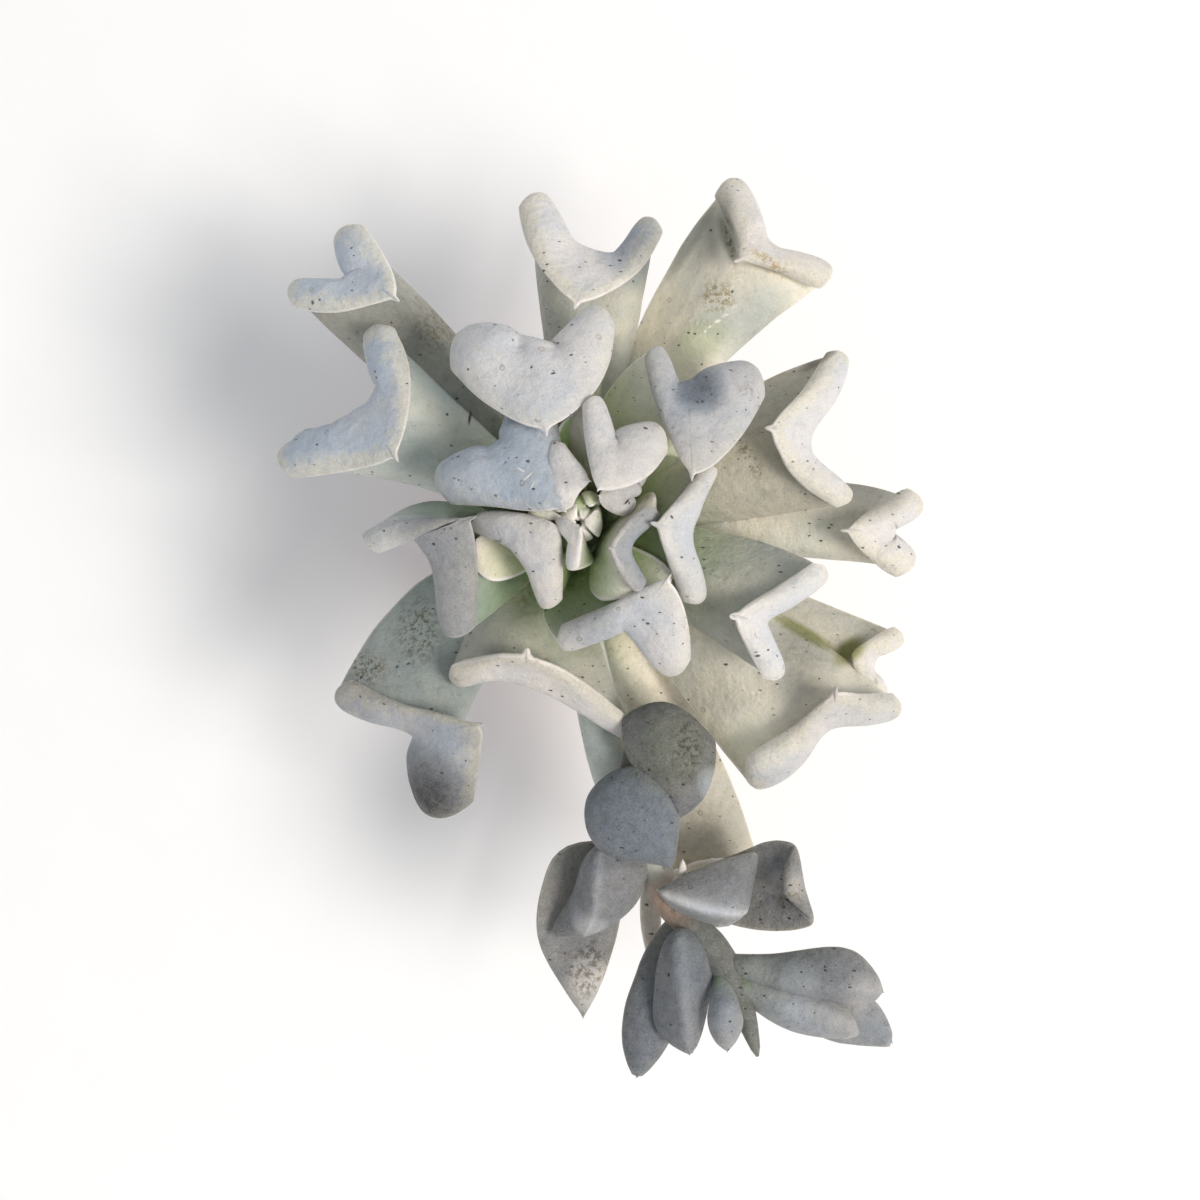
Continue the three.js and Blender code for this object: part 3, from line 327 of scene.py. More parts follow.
def half_leaf(shape, side):
    """The lines from beside the middle to the rounded tip of the lobe."""
    corner, belly, stand_out = (
        (shape.left, shape.belly_left, shape.side_left) if side > 0
        else (shape.right, shape.belly_right, shape.side_right))
    fold, tip, turn, half = shape.fold, shape.tip, shape.turn, shape.thick / 2
    reach, waist, droop = corner.reach, corner.waist, shape.droop
    chord = fold - tip
    neck = np.array([*corner.neck, (corner.tip[2] + (fold[2] + tip[2]) / 2) / 2])
    axis = unit((corner.tip - neck) * [1, 1, 0.7])
    level = unit(np.array([-axis[1], axis[0], 0]))
    if level @ chord < 0:
        level = -level
    tilt = 0.5 * (tip[2] - fold[2]) / math.hypot(chord[0], chord[1])
    to_fold = unit(level - UP * tilt)

    waist_turn, waist_half = min(0.5 * waist, turn), min(0.58 * waist, 1.15 * half)
    waist_fold = neck + to_fold * 1.06 * waist
    waist_edge = neck - to_fold * 1.1 * waist
    beside_edge = mix(tip, waist_edge, 0.5) - unit(chord) * belly
    beside = folded_line(root_point(shape, side, 0.3), mix(fold, waist_fold, 0.55),
                         beside_edge, (turn + waist_turn) / 2, (half + waist_half) / 2,
                         0.9 * ARCH - 0.1 * droop, unit(flat(chord) + level), 1.0)
    at_waist = folded_line(root_point(shape, side, 0.6), waist_fold, waist_edge,
                           waist_turn, waist_half, 0.4 * ARCH - 0.36 * droop, level,
                           0.15 * waist)
    end = corner.tip - axis * 0.85 * reach
    at_end = folded_line(root_point(shape, side, 0.85), end + to_fold * 1.12 * reach,
                         end - to_fold * 1.15 * reach, min(0.5 * reach, 3.2),
                         min(0.58 * reach, 3.6), -0.75 * droop, level, 0.15 * reach)
    rounded = []
    for place in at_end[3:]:
        offset = place - end
        swing = min(1.0, 0.75 * abs(offset @ to_fold) / reach)
        rounded.append(end + offset * 0.9 + axis * reach * math.sqrt(1 - swing * swing))
    margin = root_point(shape, side, 1.0)
    sideways = unit(root_point(shape, side, 1.0) - root_point(shape, -side, 1.0))
    low = mix(margin, rounded[0], 0.36) - UP * 0.75 * droop + sideways * stand_out[0]
    high = mix(margin, rounded[0], 0.7) - UP * 0.95 * droop + sideways * stand_out[1]
    for row in (1, 2):
        at_waist[row] += sideways * 0.3 * stand_out[row - 1]
        at_end[row] += sideways * 0.8 * stand_out[row - 1]
    return [beside, at_waist, at_end, np.array([margin, low, high, *rounded])]


def leaf_net(shape):
    chord = shape.fold - shape.tip
    middle = folded_line(root_point(shape, 1, 0), shape.fold, shape.tip, shape.turn,
                         shape.thick / 2, ARCH, flat(chord), 1.0)
    return np.array(half_leaf(shape, -1)[::-1] + [middle] + half_leaf(shape, 1))


print("a leaf's net:", leaf_net(LEAVES[0]).shape)

# %% [markdown]
# ## From the net to a fleshy leaf
# The net gives the leaf's middle skin. Two skins stand off it, one on each side, by
# half the leaf's thickness: full in the blade, fat in the lobes and thin at the
# rolled edge. A last touch moves the skin near one place, as a thumb would, for the
# hollows and ridges that one leaf has and its neighbour doesn't.

# %% Where the leaf is thick and thin
def half_thickness(shape, u, v):
    reach = np.where(v > 0, shape.left.reach, shape.right.reach)
    in_blade = np.clip((u - 0.35) / 0.25, 0, 1)
    in_lobe = smooth((np.abs(v) - 0.35) / 0.5)
    thick = mix(shape.thick, 1.15 * reach, in_lobe * in_blade)
    thick = thick * (1 - 0.6 * np.clip((u - 0.62) / 0.38, 0, 1) * (1 - in_lobe))
    across = np.sqrt(np.clip(1 - np.abs(v) ** (3 + 4 * np.clip((u - 0.1) / 0.3, 0, 1)), 0, 1))
    edge_width = 0.05 + 0.09 * in_lobe
    edge = round_off((u - 1 + edge_width) / edge_width)
    return thick / 2 * across * edge * round_off((0.06 - u) / 0.06)


def plump(shape, u, v):
    """How far the outer side of the rolled part swells, as a finger does, in mm."""
    reach = np.where(v > 0, shape.left.reach, shape.right.reach)
    in_lobe = smooth((np.abs(v) - 0.2) / 0.5)
    over = np.sin(np.clip((u - 0.54) / 0.46, 0, 1) * math.pi) ** 0.8
    side = np.sqrt(np.clip(1 - np.abs(v) ** 6, 0, 1))
    return over * side * reach * (0.06 + 0.26 * in_lobe)


def inside_share(u):
    return 1 - 0.75 * smooth((u - 0.4) / 0.12) * smooth((0.82 - u) / 0.12)


def used_width(u):
    return ((0.94 + 0.06 * round_off((u - 0.72) / 0.28))
            * (0.6 + 0.4 * round_off((0.08 - u) / 0.08)))


# %% Nudges: a thumb's touch near one place of a leaf
def nudged(points, u, nudges):
    moved = points.copy()
    for touch in nudges:
        east, north = points[..., 0] - touch.place[0], points[..., 1] - touch.place[1]
        cos, sin = math.cos(touch.turned), math.sin(touch.turned)
        along = (east * cos + north * sin) / touch.reach[0]
        across = (north * cos - east * sin) / touch.reach[1]
        share = np.clip(1 - along ** 2 - across ** 2, 0, 1) ** 2
        if touch.part == "plate":
            share = share * smooth((u - 0.52) / 0.1)
        elif touch.part == "blade":
            share = share * smooth((0.5 - u) / 0.1)
        moved += share[..., None] * touch.move
    return moved


# %% The middle skin, with its spike
SPIKE_SPREAD = 0.02
SPIKE_ROOM = 0.07


def net_points(net, u, v):
    """Points of the net's skin: u runs from 0 at the root to 1, v across from -1 to 1."""
    along = spline_weights(net.shape[1], u)
    across = spline_weights(net.shape[0], (v + 1) / 2)
    return np.einsum("nk,nj,jkc->nc", along, across, net).reshape(u.shape + (3,))


def middle_skin(shape, net, u, v):
    points = nudged(net_points(net, u, v), u, shape.nudges)
    toward = unit((shape.tip - shape.fold) * [1, 1, 0.4])
    narrow = 1 / (1 + (v / SPIKE_SPREAD) ** 2) * smooth((0.2 - np.abs(v)) / 0.15)
    late = smooth((u - 1 + SPIKE_ROOM) / SPIKE_ROOM) ** 1.5
    return points + (shape.spike * narrow * late)[..., None] * toward


# %% Rows and columns: closer together round the rolled edge and the spike
ROWS = 84
COLUMNS = 56


def leaf_rows():
    even = np.linspace(0, 0.95, ROWS)
    return np.concatenate([even, [0.96, 0.97, 0.978, 0.985, 0.991, 0.996, 0.999, 1.0]])


def leaf_columns():
    even = eased(COLUMNS)
    close = np.array([0.006, 0.013, 0.021, 0.032])
    wide = even[np.abs(even) > 0.04]
    return np.sort(np.concatenate([wide, close, -close, [0.0]]))


# %% Soften the valleys between the lobes
def softened(skin, u, v, width=0.06):
    """The plate's outer skin, evened out crosswise, so that a tight valley has no seam."""
    columns = v[0]
    total, weights = skin.copy(), 1.0
    for shift, weight in ((-2, 0.5), (-1, 0.8), (1, 0.8), (2, 0.5)):
        for row in range(len(skin)):
            for axis in range(3):
                total[row, :, axis] += weight * np.interp(
                    columns + shift * width, columns, skin[row, :, axis])
        weights += weight
    share = (smooth((u - 0.5) / 0.08) * smooth((0.93 - u) / 0.06)
             * smooth((0.7 - np.abs(v)) / 0.4))[..., None]
    return mix(skin, total / weights, share)


# %% The two skins and what the finish needs to know about them
STEP = 1e-3


def facing(skin, u, v):
    """The direction a skin faces, where skin is the function that gives its points."""
    lengthwise = skin(np.minimum(u + STEP, 1), v) - skin(np.maximum(u - STEP, 0), v)
    crosswise = skin(u, np.minimum(v + STEP, 1)) - skin(u, np.maximum(v - STEP, -1))
    out = np.cross(lengthwise, crosswise)
    return out / (np.linalg.norm(out, axis=-1, keepdims=True) + 1e-12)


def distances(middle, rolled):
    """How far each point is from the root and from the nearest edge, along the skin, in mm."""
    step_out = np.linalg.norm(np.diff(middle, axis=0), axis=-1)
    from_root = np.vstack([np.zeros((1, middle.shape[1])), np.cumsum(step_out, axis=0)])
    step_over = np.linalg.norm(np.diff(middle, axis=1), axis=-1)
    from_side = np.hstack([np.zeros((len(middle), 1)), np.cumsum(step_over, axis=1)])
    side = np.minimum(from_side, from_side[:, -1:] - from_side)
    edge = np.minimum(side, from_root[-1:] - from_root)
    return {"from_root": from_root, "from_edge": edge, "rolled": rolled}


def leaf_skins(shape):
    net = leaf_net(shape)
    u, v = np.meshgrid(leaf_rows(), leaf_columns(), indexing="ij")
    used = v * used_width(u)
    middle = middle_skin(shape, net, u, used)
    out = facing(lambda *place: middle_skin(shape, net, *place), u, used)
    half = half_thickness(shape, u, v)
    upper = middle + out * (half * inside_share(u))[..., None]
    lower = softened(middle - out * (half + plump(shape, u, v))[..., None], u, v)
    return upper, lower, distances(middle, smooth((u - 0.5) / 0.14))


def closed_skin(upper, lower, marks):
    """Points, faces and marks of a closed body from two skins that share their border."""
    rows, columns = upper.shape[:2]
    above = np.arange(rows * columns).reshape(rows, columns)
    inner = np.arange((rows - 2) * (columns - 2)).reshape(rows - 2, columns - 2)
    below = above.copy()
    below[1:-1, 1:-1] = rows * columns + inner
    points = np.vstack([upper.reshape(-1, 3), lower[1:-1, 1:-1].reshape(-1, 3)])

    def quads(skin, order):
        corners = [skin[:-1, :-1], skin[1:, :-1], skin[1:, 1:], skin[:-1, 1:]]
        return np.stack([corners[k] for k in order], -1).reshape(-1, 4)

    faces = np.vstack([quads(above, (0, 1, 2, 3)), quads(below, (0, 3, 2, 1))])
    marks = {name: np.concatenate([values.ravel(), values[1:-1, 1:-1].ravel()])
             for name, values in marks.items()}
    return points, faces, marks


def mesh_from(name, bodies):
    """One mesh from several closed bodies, each given as points, faces and marks."""
    starts = np.cumsum([0] + [len(points) for points, _, _ in bodies])
    points = np.vstack([body[0] for body in bodies])
    faces = [[int(corner + start) for corner in face]
             for body, start in zip(bodies, starts) for face in body[1]]
    mesh = bpy.data.meshes.new(name)
    mesh.from_pydata((points * MM).tolist(), [], faces)
    for mark in bodies[0][2]:
        data = mesh.attributes.new(mark, "FLOAT", "POINT").data
        data.foreach_set("value", np.concatenate([body[2][mark] for body in bodies]))
    return mesh


# %% [markdown]
# ## Living skin
# No leaf is as smooth as its net. A slow wave makes the surface swell and sink by a
# few tenths of a millimetre, and a finer one keeps the light from lying too even.

# %% Make the skin uneven
def roughen(mesh, seed, waves):
    """Each wave is (length in mm, height in mm)."""
    count = len(mesh.vertices)
    normals = np.empty(count * 3)
    mesh.vertices.foreach_get("normal", normals)
    places = np.empty(count * 3)
    mesh.vertices.foreach_get("co", places)
    normals, places = normals.reshape(-1, 3), places.reshape(-1, 3)
    heights = np.zeros(count)
    for length, height in waves:
        shift = Vector((seed * 7.3, seed * 3.1, seed * 1.7))
        at = places / (length * MM)
        heights += height * np.array([noise.noise(Vector(p) + shift) for p in at])
    places += normals * (heights * MM)[:, None]
    mesh.vertices.foreach_set("co", places.ravel())
    mesh.update()


# %% Put pieces in the scene
def placed(name, mesh):
    """An object for a mesh, put in the scene."""
    thing = bpy.data.objects.new(name, mesh)
    bpy.context.collection.objects.link(thing)
    return thing


def finish_piece(name, mesh, material, slot, *nodes):
    """Put a mesh in the scene as a piece that rides on the pot and stands for nodes."""
    mesh.polygons.foreach_set("use_smooth", [True] * len(mesh.polygons))
    mesh.materials.clear()
    mesh.materials.append(material)
    piece = placed(name, mesh)
    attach(piece, "root")
    if nodes:
        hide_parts(*nodes)
    return piece


# %% [markdown]
# ## Finishes made of nodes
# A finish is a small graph: patterns come in on one side, colours and roughness go
# out on the other. A few helpers keep each graph short to read. The same three words,
# add, put and math, build the trees of Geometry Nodes further down.

# %% Colours and graphs
def shade(red, green, blue):
    """A colour as seen on a screen, 0 to 255, turned into the linear light it stands for."""
    linear = [((c / 255 + 0.055) / 1.055) ** 2.4 if c > 10 else c / 255 / 12.92
              for c in (red, green, blue)]
    return (*linear, 1.0)


class Graph:
    """The nodes and links of a tree, and the short words that build them."""

    def __init__(self, tree):
        self.nodes, self.links = tree.nodes, tree.links

    def add(self, kind, settings=(), inputs=()):
        node = self.nodes.new(kind)
        for key, value in dict(settings).items():
            setattr(node, key, value)
        for key, value in dict(inputs).items():
            self.put(node.inputs[key], value)
        return node

    def put(self, socket, value):
        if isinstance(value, bpy.types.NodeSocket):
            self.links.new(value, socket)
        else:
            socket.default_value = value

    def math(self, operation, first, second=0.0, clamp=False):
        node = self.add("ShaderNodeMath", {"operation": operation, "use_clamp": clamp})
        self.put(node.inputs[0], first)
        self.put(node.inputs[1], second)
        return node.outputs[0]


# %% Helpers for finishes
class Finish(Graph):
    """A material and the words for its patterns."""

    def __init__(self, name, roughness=0.6):
        self.material = bpy.data.materials.new(name)
        self.material.use_nodes = True
        super().__init__(self.material.node_tree)
        self.shader = self.nodes["Principled BSDF"]
        self.shader.inputs["Roughness"].default_value = roughness
        self.place = self.add("ShaderNodeTexCoord").outputs["Object"]

    def paint(self, color, normal=None, roughness=None):
        """Colour, bumps and roughness go to the shader."""
        self.put(self.shader.inputs["Base Color"], color)
        for name, value in (("Normal", normal), ("Roughness", roughness)):
            if value is not None:
                self.put(self.shader.inputs[name], value)
        return self.material

    def ramp(self, value, low, high, start=0.0, end=1.0):
        """Value runs smoothly from start to end as it goes from low to high."""
        node = self.add("ShaderNodeMapRange", {"interpolation_type": "SMOOTHSTEP"})
        for index, number in enumerate((value, low, high, start, end)):
            self.put(node.inputs[index], number)
        return node.outputs[0]

    def blend(self, share, first, second, how="MIX"):
        node = self.add("ShaderNodeMix", {"data_type": "RGBA", "blend_type": how})
        self.put(node.inputs[0], share)
        self.put(node.inputs[6], first)
        self.put(node.inputs[7], second)
        return node.outputs[2]

    def cloud(self, scale, detail=3.0, roughness=0.55, place=None, distortion=0.0):
        node = self.add("ShaderNodeTexNoise", inputs={
            "Vector": place or self.place, "Scale": scale, "Detail": detail,
            "Roughness": roughness, "Distortion": distortion})
        return node.outputs["Fac"]

    def mark(self, name):
        return self.add("ShaderNodeAttribute", {"attribute_name": name}).outputs["Fac"]

    def bump(self, height, depth, after=None):
        """Raise the surface by height times depth, in metres."""
        node = self.add("ShaderNodeBump", inputs={"Height": height, "Distance": depth,
                                                  "Strength": 1.0})
        if after:
            self.put(node.inputs["Normal"], after)
        return node.outputs["Normal"]

    def cells(self, scale, place=None):
        """A random net's distance to the nearest cell's middle, and each cell's numbers."""
        net = self.add("ShaderNodeTexVoronoi", inputs={
            "Vector": place or self.place, "Scale": scale, "Randomness": 1.0})
        each = self.add("ShaderNodeSeparateColor", inputs={"Color": net.outputs["Color"]})
        return net.outputs["Distance"], each.outputs

    def dots(self, scale, share, radius, place=None):
        """Round spots in a share of the cells of a random net: one in a spot, zero outside."""
        distance, each = self.cells(scale, place)
        chosen = self.math("LESS_THAN", each[0], share)
        size = self.math("MULTIPLY", self.math("ADD", 0.35, each[1]), radius)
        near = self.ramp(self.math("DIVIDE", distance, size), 0.7, 1.1, 1.0, 0.0)
        return self.math("MULTIPLY", near, chosen)

    def rings(self, scale, share, radius, width, place=None):
        distance, each = self.cells(scale, place)
        chosen = self.math("LESS_THAN", each[0], share)
        off = self.math("ABSOLUTE", self.math("SUBTRACT", distance, radius))
        return self.math("MULTIPLY", self.ramp(off, 0.0, width, 1.0, 0.0), chosen)


# %% [markdown]
# ## The leaves' powdery skin
# The flesh is green. Over it lies farina, a blue-white powder of fine wax. It is
# thickest and bluest on the rolled plates, thinner on the blades, and nearly gone near
# the root, where the green shows. Toward a plate's rim it turns to a cream mottling,
# and the rim itself is a thin blushing line. Old drops and insects have left dark
# specks and small rings. Each leaf has a warmth and a tone, which are numbers stored
# on its points, so one finish serves them all. Besides the leaf's own colour they hold
# painted light and shade: warmer and lighter where the lamp falls, cooler and darker
# where shade falls.

# %% Colours of the skin
POWDER_COOL, POWDER_WARM = shade(178, 188, 200), shade(222, 214, 206)
BLADE_COOL, BLADE_WARM = shade(168, 178, 176), shade(214, 206, 188)
FLESH_GREEN = shade(132, 162, 84)
RIM_CREAM, RIM_LINE = shade(212, 206, 188), shade(240, 232, 226)
RIM_TAN = shade(176, 162, 132)
SCUFF_OLIVE, STALK_BLUSH = shade(142, 126, 78), shade(196, 160, 136)
# The valley olive is partly the leaf's green and partly painted shade in a valley.
STAIN_BROWN, VALLEY_OLIVE_AND_SHADE = shade(104, 92, 66), shade(132, 134, 70)
SPECK_DARK, RING_TAN = shade(54, 50, 46), shade(138, 122, 104)
# Painted shade: greys and a dark for a leaf's hollow, its crease and its turned-down margin.
PAINTED_HOLLOW_SHADE, PAINTED_CREASE_SHADE = shade(122, 122, 114), shade(104, 104, 88)
PAINTED_CREASE_SHADOW, PAINTED_MARGIN_SHADE = shade(74, 74, 56), shade(110, 112, 104)
RUST_TAN, MOSS_WASH = shade(176, 150, 100), shade(142, 152, 118)
# Painted shade: a dark brown for the blade where a plate shades it.
PAINTED_SHADE_BROWN, DRY_BROWN = shade(122, 112, 100), shade(128, 112, 84)
BRACT_OLIVE = shade(190, 194, 158)


# %% Where powder lies and where green shows
def skin_color(finish, place, green_until, rim, line_width, patches, mottle):
    from_root, from_edge = finish.mark("from_root"), finish.mark("from_edge")
    rolled, warmth = finish.mark("rolled"), finish.mark("warmth")
    drift = finish.math("MULTIPLY", finish.math("SUBTRACT", patches, 0.5), 1.4)
    # Warmth mixes the cool and the warm powder: random patches of the leaf's own colour, and
    # painted light, warm where the lamp falls and cool in shade.
    warm = finish.math("ADD", warmth, drift, clamp=True)
    plate = finish.blend(warm, POWDER_COOL, POWDER_WARM)
    blade = finish.blend(warm, BLADE_COOL, BLADE_WARM)

    wander = finish.math("MULTIPLY", finish.math("SUBTRACT", patches, 0.5), 26.0)
    reach = finish.math("ADD", from_root, wander)
    green = finish.ramp(reach, 0.0, green_until, 0.95, 0.0)
    blade = finish.blend(green, blade, FLESH_GREEN)
    color = finish.blend(rolled, blade, plate)

    ragged = finish.math("ADD", from_edge,
                         finish.math("MULTIPLY", finish.math("SUBTRACT", mottle, 0.5), 15.0))
    band = finish.math("MULTIPLY", finish.ramp(ragged, 1.5, 6.5, rim, 0.0), rolled)
    color = finish.blend(band, color, RIM_CREAM)
    fine = finish.math("MULTIPLY", finish.ramp(finish.cloud(980, 4, 0.8, place), 0.5, 0.62), band)
    color = finish.blend(finish.math("MULTIPLY", fine, 0.55), color, RIM_TAN)
    line = finish.ramp(from_edge, 0.3 * line_width, line_width, 0.65, 0.0)
    return finish.blend(line, color, RIM_LINE)


# %% Specks, rings and scuffs
def bent_place(finish, place, bend=0.0011):
    """The same place pushed about by a fine noise, so that no mark is a true circle."""
    wobble = finish.add("ShaderNodeTexNoise", inputs={"Vector": place, "Scale": 650.0})
    bent = finish.add("ShaderNodeMix", {"data_type": "VECTOR"}, {0: bend})
    finish.put(bent.inputs[4], place)
    finish.put(bent.inputs[5], wobble.outputs["Color"])
    return bent.outputs[1]


def skin_marks(finish, place, specks):
    bent = bent_place(finish, place)
    long = finish.add("ShaderNodeVectorMath", {"operation": "MULTIPLY"}, {1: (1.0, 1.9, 1.4)})
    finish.put(long.inputs[0], bent)
    where = finish.ramp(finish.cloud(45, 2, 0.5, place), 0.38, 0.52)
    small = finish.dots(300, specks * 4.0, 0.15, long.outputs["Vector"])
    large = finish.dots(190, specks, 0.09, bent)
    speck = finish.math("MAXIMUM", finish.math("MULTIPLY", small, where), large)
    ring = finish.rings(200, 0.08, 0.13, 0.05, bent)
    return speck, ring


# %% Stains and painted shade: single marks that one leaf carries
def stain_or_painted_shade(where, reach, strength, color=SCUFF_OLIVE, patchy=True, turned=0.0):
    """A mark at a place seen from above, with its reach along and across, all in mm. It is a
    stain of the skin, painted shade, or a painted highlight.
    """
    return SimpleNamespace(where=where, reach=reach, strength=strength, color=color,
                           patchy=patchy, turned=math.radians(turned))


def stain_or_shade_share(finish, place, mark):
    centre = (mark.where[0] * MM, mark.where[1] * MM, 0)
    straight = finish.add("ShaderNodeVectorRotate", {"rotation_type": "Z_AXIS"},
                          {"Vector": finish.place, "Center": centre, "Angle": -mark.turned})
    off = finish.add("ShaderNodeVectorMath", {"operation": "SUBTRACT"}, {1: centre})
    finish.put(off.inputs[0], straight.outputs["Vector"])
    sized = finish.add("ShaderNodeVectorMath", {"operation": "MULTIPLY"},
                       {1: (1 / (mark.reach[0] * MM), 1 / (mark.reach[1] * MM), 0)})
    finish.put(sized.inputs[0], off.outputs["Vector"])
    far = finish.add("ShaderNodeVectorMath", {"operation": "LENGTH"})
    finish.put(far.inputs[0], sized.outputs["Vector"])
    near = finish.ramp(far.outputs["Value"], 0.3, 1.0, mark.strength, 0.0)
    if not mark.patchy:
        return near
    return finish.math("MULTIPLY", near,
                       finish.ramp(finish.cloud(620, 5, 0.75, place), 0.47, 0.58))


# %% The finish for a leaf
PATCH_SCALE, MOTTLE_SCALE, GRAIN_SCALE = 42, 330, 1900
GRAIN_DEPTH, MOTTLE_DEPTH, SWELL_DEPTH, PIT_DEPTH = 0.00012, 0.0006, 0.0011, 0.00015
TONE_STEP = 0.22
SHINE = {"Subsurface Weight": 0.25, "Subsurface Radius": (1.0, 1.1, 0.55),
         "Subsurface Scale": 0.003, "Sheen Weight": 0.1, "Sheen Roughness": 0.5,
         "Specular IOR Level": 0.3}


def farina_finish(name, green_until=30.0, specks=0.16, olive=0.5, rim=0.6, seed=0.0,
                  line_width=0.8, stalk=False, stains_and_shade=()):
    finish = Finish(name)
    place = finish.add("ShaderNodeMapping", inputs={
        "Vector": finish.place, "Location": (seed * 0.13, seed * 0.07, seed * 0.21)}).outputs[0]
    patches = finish.cloud(PATCH_SCALE, 4, 0.6, place)
    mottle = finish.cloud(MOTTLE_SCALE, 6, 0.72, place)
    grain = finish.cloud(GRAIN_SCALE, 3, 0.7, place)
    color = skin_color(finish, place, green_until, rim, line_width, patches, mottle)
    if stalk:
        color = finish.blend(finish.math("MULTIPLY", finish.mark("stalk"), 0.75), color,
                             STALK_BLUSH)

    thin = finish.math("MULTIPLY", finish.ramp(mottle, 0.52, 0.8), 0.3)
    color = finish.blend(thin, color, BLADE_COOL, "MULTIPLY")
    worn = finish.cloud(62, 7, 0.75, place, 0.7)
    scuff = finish.math("MULTIPLY", finish.ramp(worn, 0.67 - 0.05 * olive, 0.8), olive)
    color = finish.blend(scuff, color, SCUFF_OLIVE)
    for mark in stains_and_shade:
        color = finish.blend(stain_or_shade_share(finish, place, mark), color, mark.color)

    speck, ring = skin_marks(finish, place, specks)
    color = finish.blend(finish.math("MULTIPLY", ring, 0.45), color, RING_TAN)
    color = finish.blend(finish.math("MULTIPLY", speck, 0.85), color, SPECK_DARK)
    # The tone makes the colour lighter and darker: painted light and shade over the leaf's own
    # tone.
    tone = finish.math("MULTIPLY", finish.mark("tone"), TONE_STEP)
    light = finish.math("MULTIPLY", finish.ramp(grain, 0.3, 0.7, 0.93, 1.07),
                        finish.ramp(mottle, 0.3, 0.7, 1.04, 0.95))
    light = finish.math("ADD", light, tone)
    scale = finish.add("ShaderNodeVectorMath", {"operation": "SCALE"}, {0: color, 3: light})

    skin = finish.bump(grain, GRAIN_DEPTH)
    skin = finish.bump(mottle, MOTTLE_DEPTH, skin)
    skin = finish.bump(finish.cloud(120, 3, 0.6, place), SWELL_DEPTH, skin)
    pits = finish.math("SUBTRACT", 1.0, finish.math("MAXIMUM", speck, ring))
    for name, value in SHINE.items():
        finish.shader.inputs[name].default_value = value
    return finish.paint(scale.outputs["Vector"], finish.bump(pits, PIT_DEPTH, skin),
                        finish.ramp(mottle, 0.3, 0.7, 0.46, 0.66))


# %% The warmth and the tone of each leaf, partly painted light and shade
def touch(place, reach, warmth, tone):
    """A place on a leaf, in mm seen from above, where its warmth and tone change; most are
    painted shade where the tone falls and painted highlights where it rises.
    """
    return SimpleNamespace(place=place, reach=reach, change=(warmth, tone))


def tint(plate, blade, *touches):
    """Warmth and tone of the rolled plate, of the blade, and of single places, partly painted
    light and shade.
    """
    return SimpleNamespace(plate=plate, blade=blade, touches=touches)


# Painted light and shade: most warmths and tones here, and the touches, make a leaf or a place
# lighter and warmer where the lamp falls, and darker and cooler where shade falls.
LEAF_TINTS_AND_PAINTED_LIGHT = {
    "outer_leaf_01": tint((0.1, 0.7), (0.55, -1.5), touch((-44, 60), 9, 0.2, -0.6)),
    "outer_leaf_02": tint((0.1, 0.3), (0.25, 1.9)),
    "outer_leaf_03": tint((0.6, 0.6), (0.5, 0.3), touch((15, 78), 13, -0.5, -2.1)),
    "outer_leaf_04": tint((0.75, 0.2), (0.75, 1.8), touch((48, 59), 15, -0.35, -1.8)),
    "outer_leaf_05": tint((0.65, 0.4), (0.8, -0.7)),
    "outer_leaf_06": tint((0.75, 0.4), (0.75, 1.0), touch((80, 14), 14, -0.2, -3.0)),
    "outer_leaf_07": tint((0.8, 0.3), (0.8, 0.0)),
    "outer_leaf_08": tint((0.6, -0.2), (0.8, 0.9), touch((61, -38), 13, -0.2, -2.2),
                          touch((50, -59), 11, 0, 2.2)),
    "outer_leaf_09": tint((0.9, 0.3), (0.9, -0.5), touch((17, -38), 16, 0, 2.4)),
    "outer_leaf_10": tint((0.85, 0.1), (0.6, -0.6)),
    "outer_leaf_11": tint((0.3, -1.3), (0.1, -1.0), touch((-44, -77), 16, 0.1, -2.7)),
    "middle_leaf_01": tint((0.5, 0.3), (0.5, 0.0)),
    "middle_leaf_02": tint((0.5, -0.6), (0.6, 3.0), touch((31.5, 35), 8, -0.5, -2.3)),
    "middle_leaf_03": tint((0.05, -0.2), (0.2, 0.0)),
    "middle_leaf_04": tint((0.35, -1.9), (0.1, -0.1), touch((-55, -3), 13, 0, 2.2)),
    "middle_leaf_05": tint((0.75, 0.0), (0.7, 0.0)),
    "middle_leaf_06": tint((0.7, 0.2), (0.6, 0.2), touch((2, -27), 10, -0.2, -1.3)),
    "middle_leaf_07": tint((0.6, 0.1), (0.6, 0.2)),
    "middle_leaf_08": tint((0.6, 0.5), (0.4, -0.2)),
    "inner_leaf_01": tint((0.7, -0.1), (0.8, 0.4), touch((3, 28), 9, 0, 0.5)),
    "inner_leaf_02": tint((0.6, -0.7), (0.8, 0.4)),
    "inner_leaf_03": tint((0.7, 0.9), (0.8, 0.4)),
    "inner_leaf_04": tint((0.4, -1.6), (0.8, 0.9)),
    "inner_leaf_05": tint((0.8, 0.4), (0.8, 0.4)),
}


def touched(values, skin, touches):
    """Warmth and tone with their changes near single places added, mostly painted light and
    shade.
    """
    for place in touches:
        off = np.hypot(skin[..., 0] - place.place[0], skin[..., 1] - place.place[1])
        share = np.clip(1 - (off / place.reach) ** 2, 0, 1)
        values = [value + share * change for value, change in zip(values, place.change)]
    return dict(zip(("warmth", "tone"), values))


def tinted(shape, skin, rolled):
    """The warmth and the tone at every point of a leaf's skin."""
    own = LEAF_TINTS_AND_PAINTED_LIGHT[shape.name]
    values = [mix(blade, plate, rolled) for blade, plate in zip(own.blade, own.plate)]
    return touched(values, skin, own.touches)
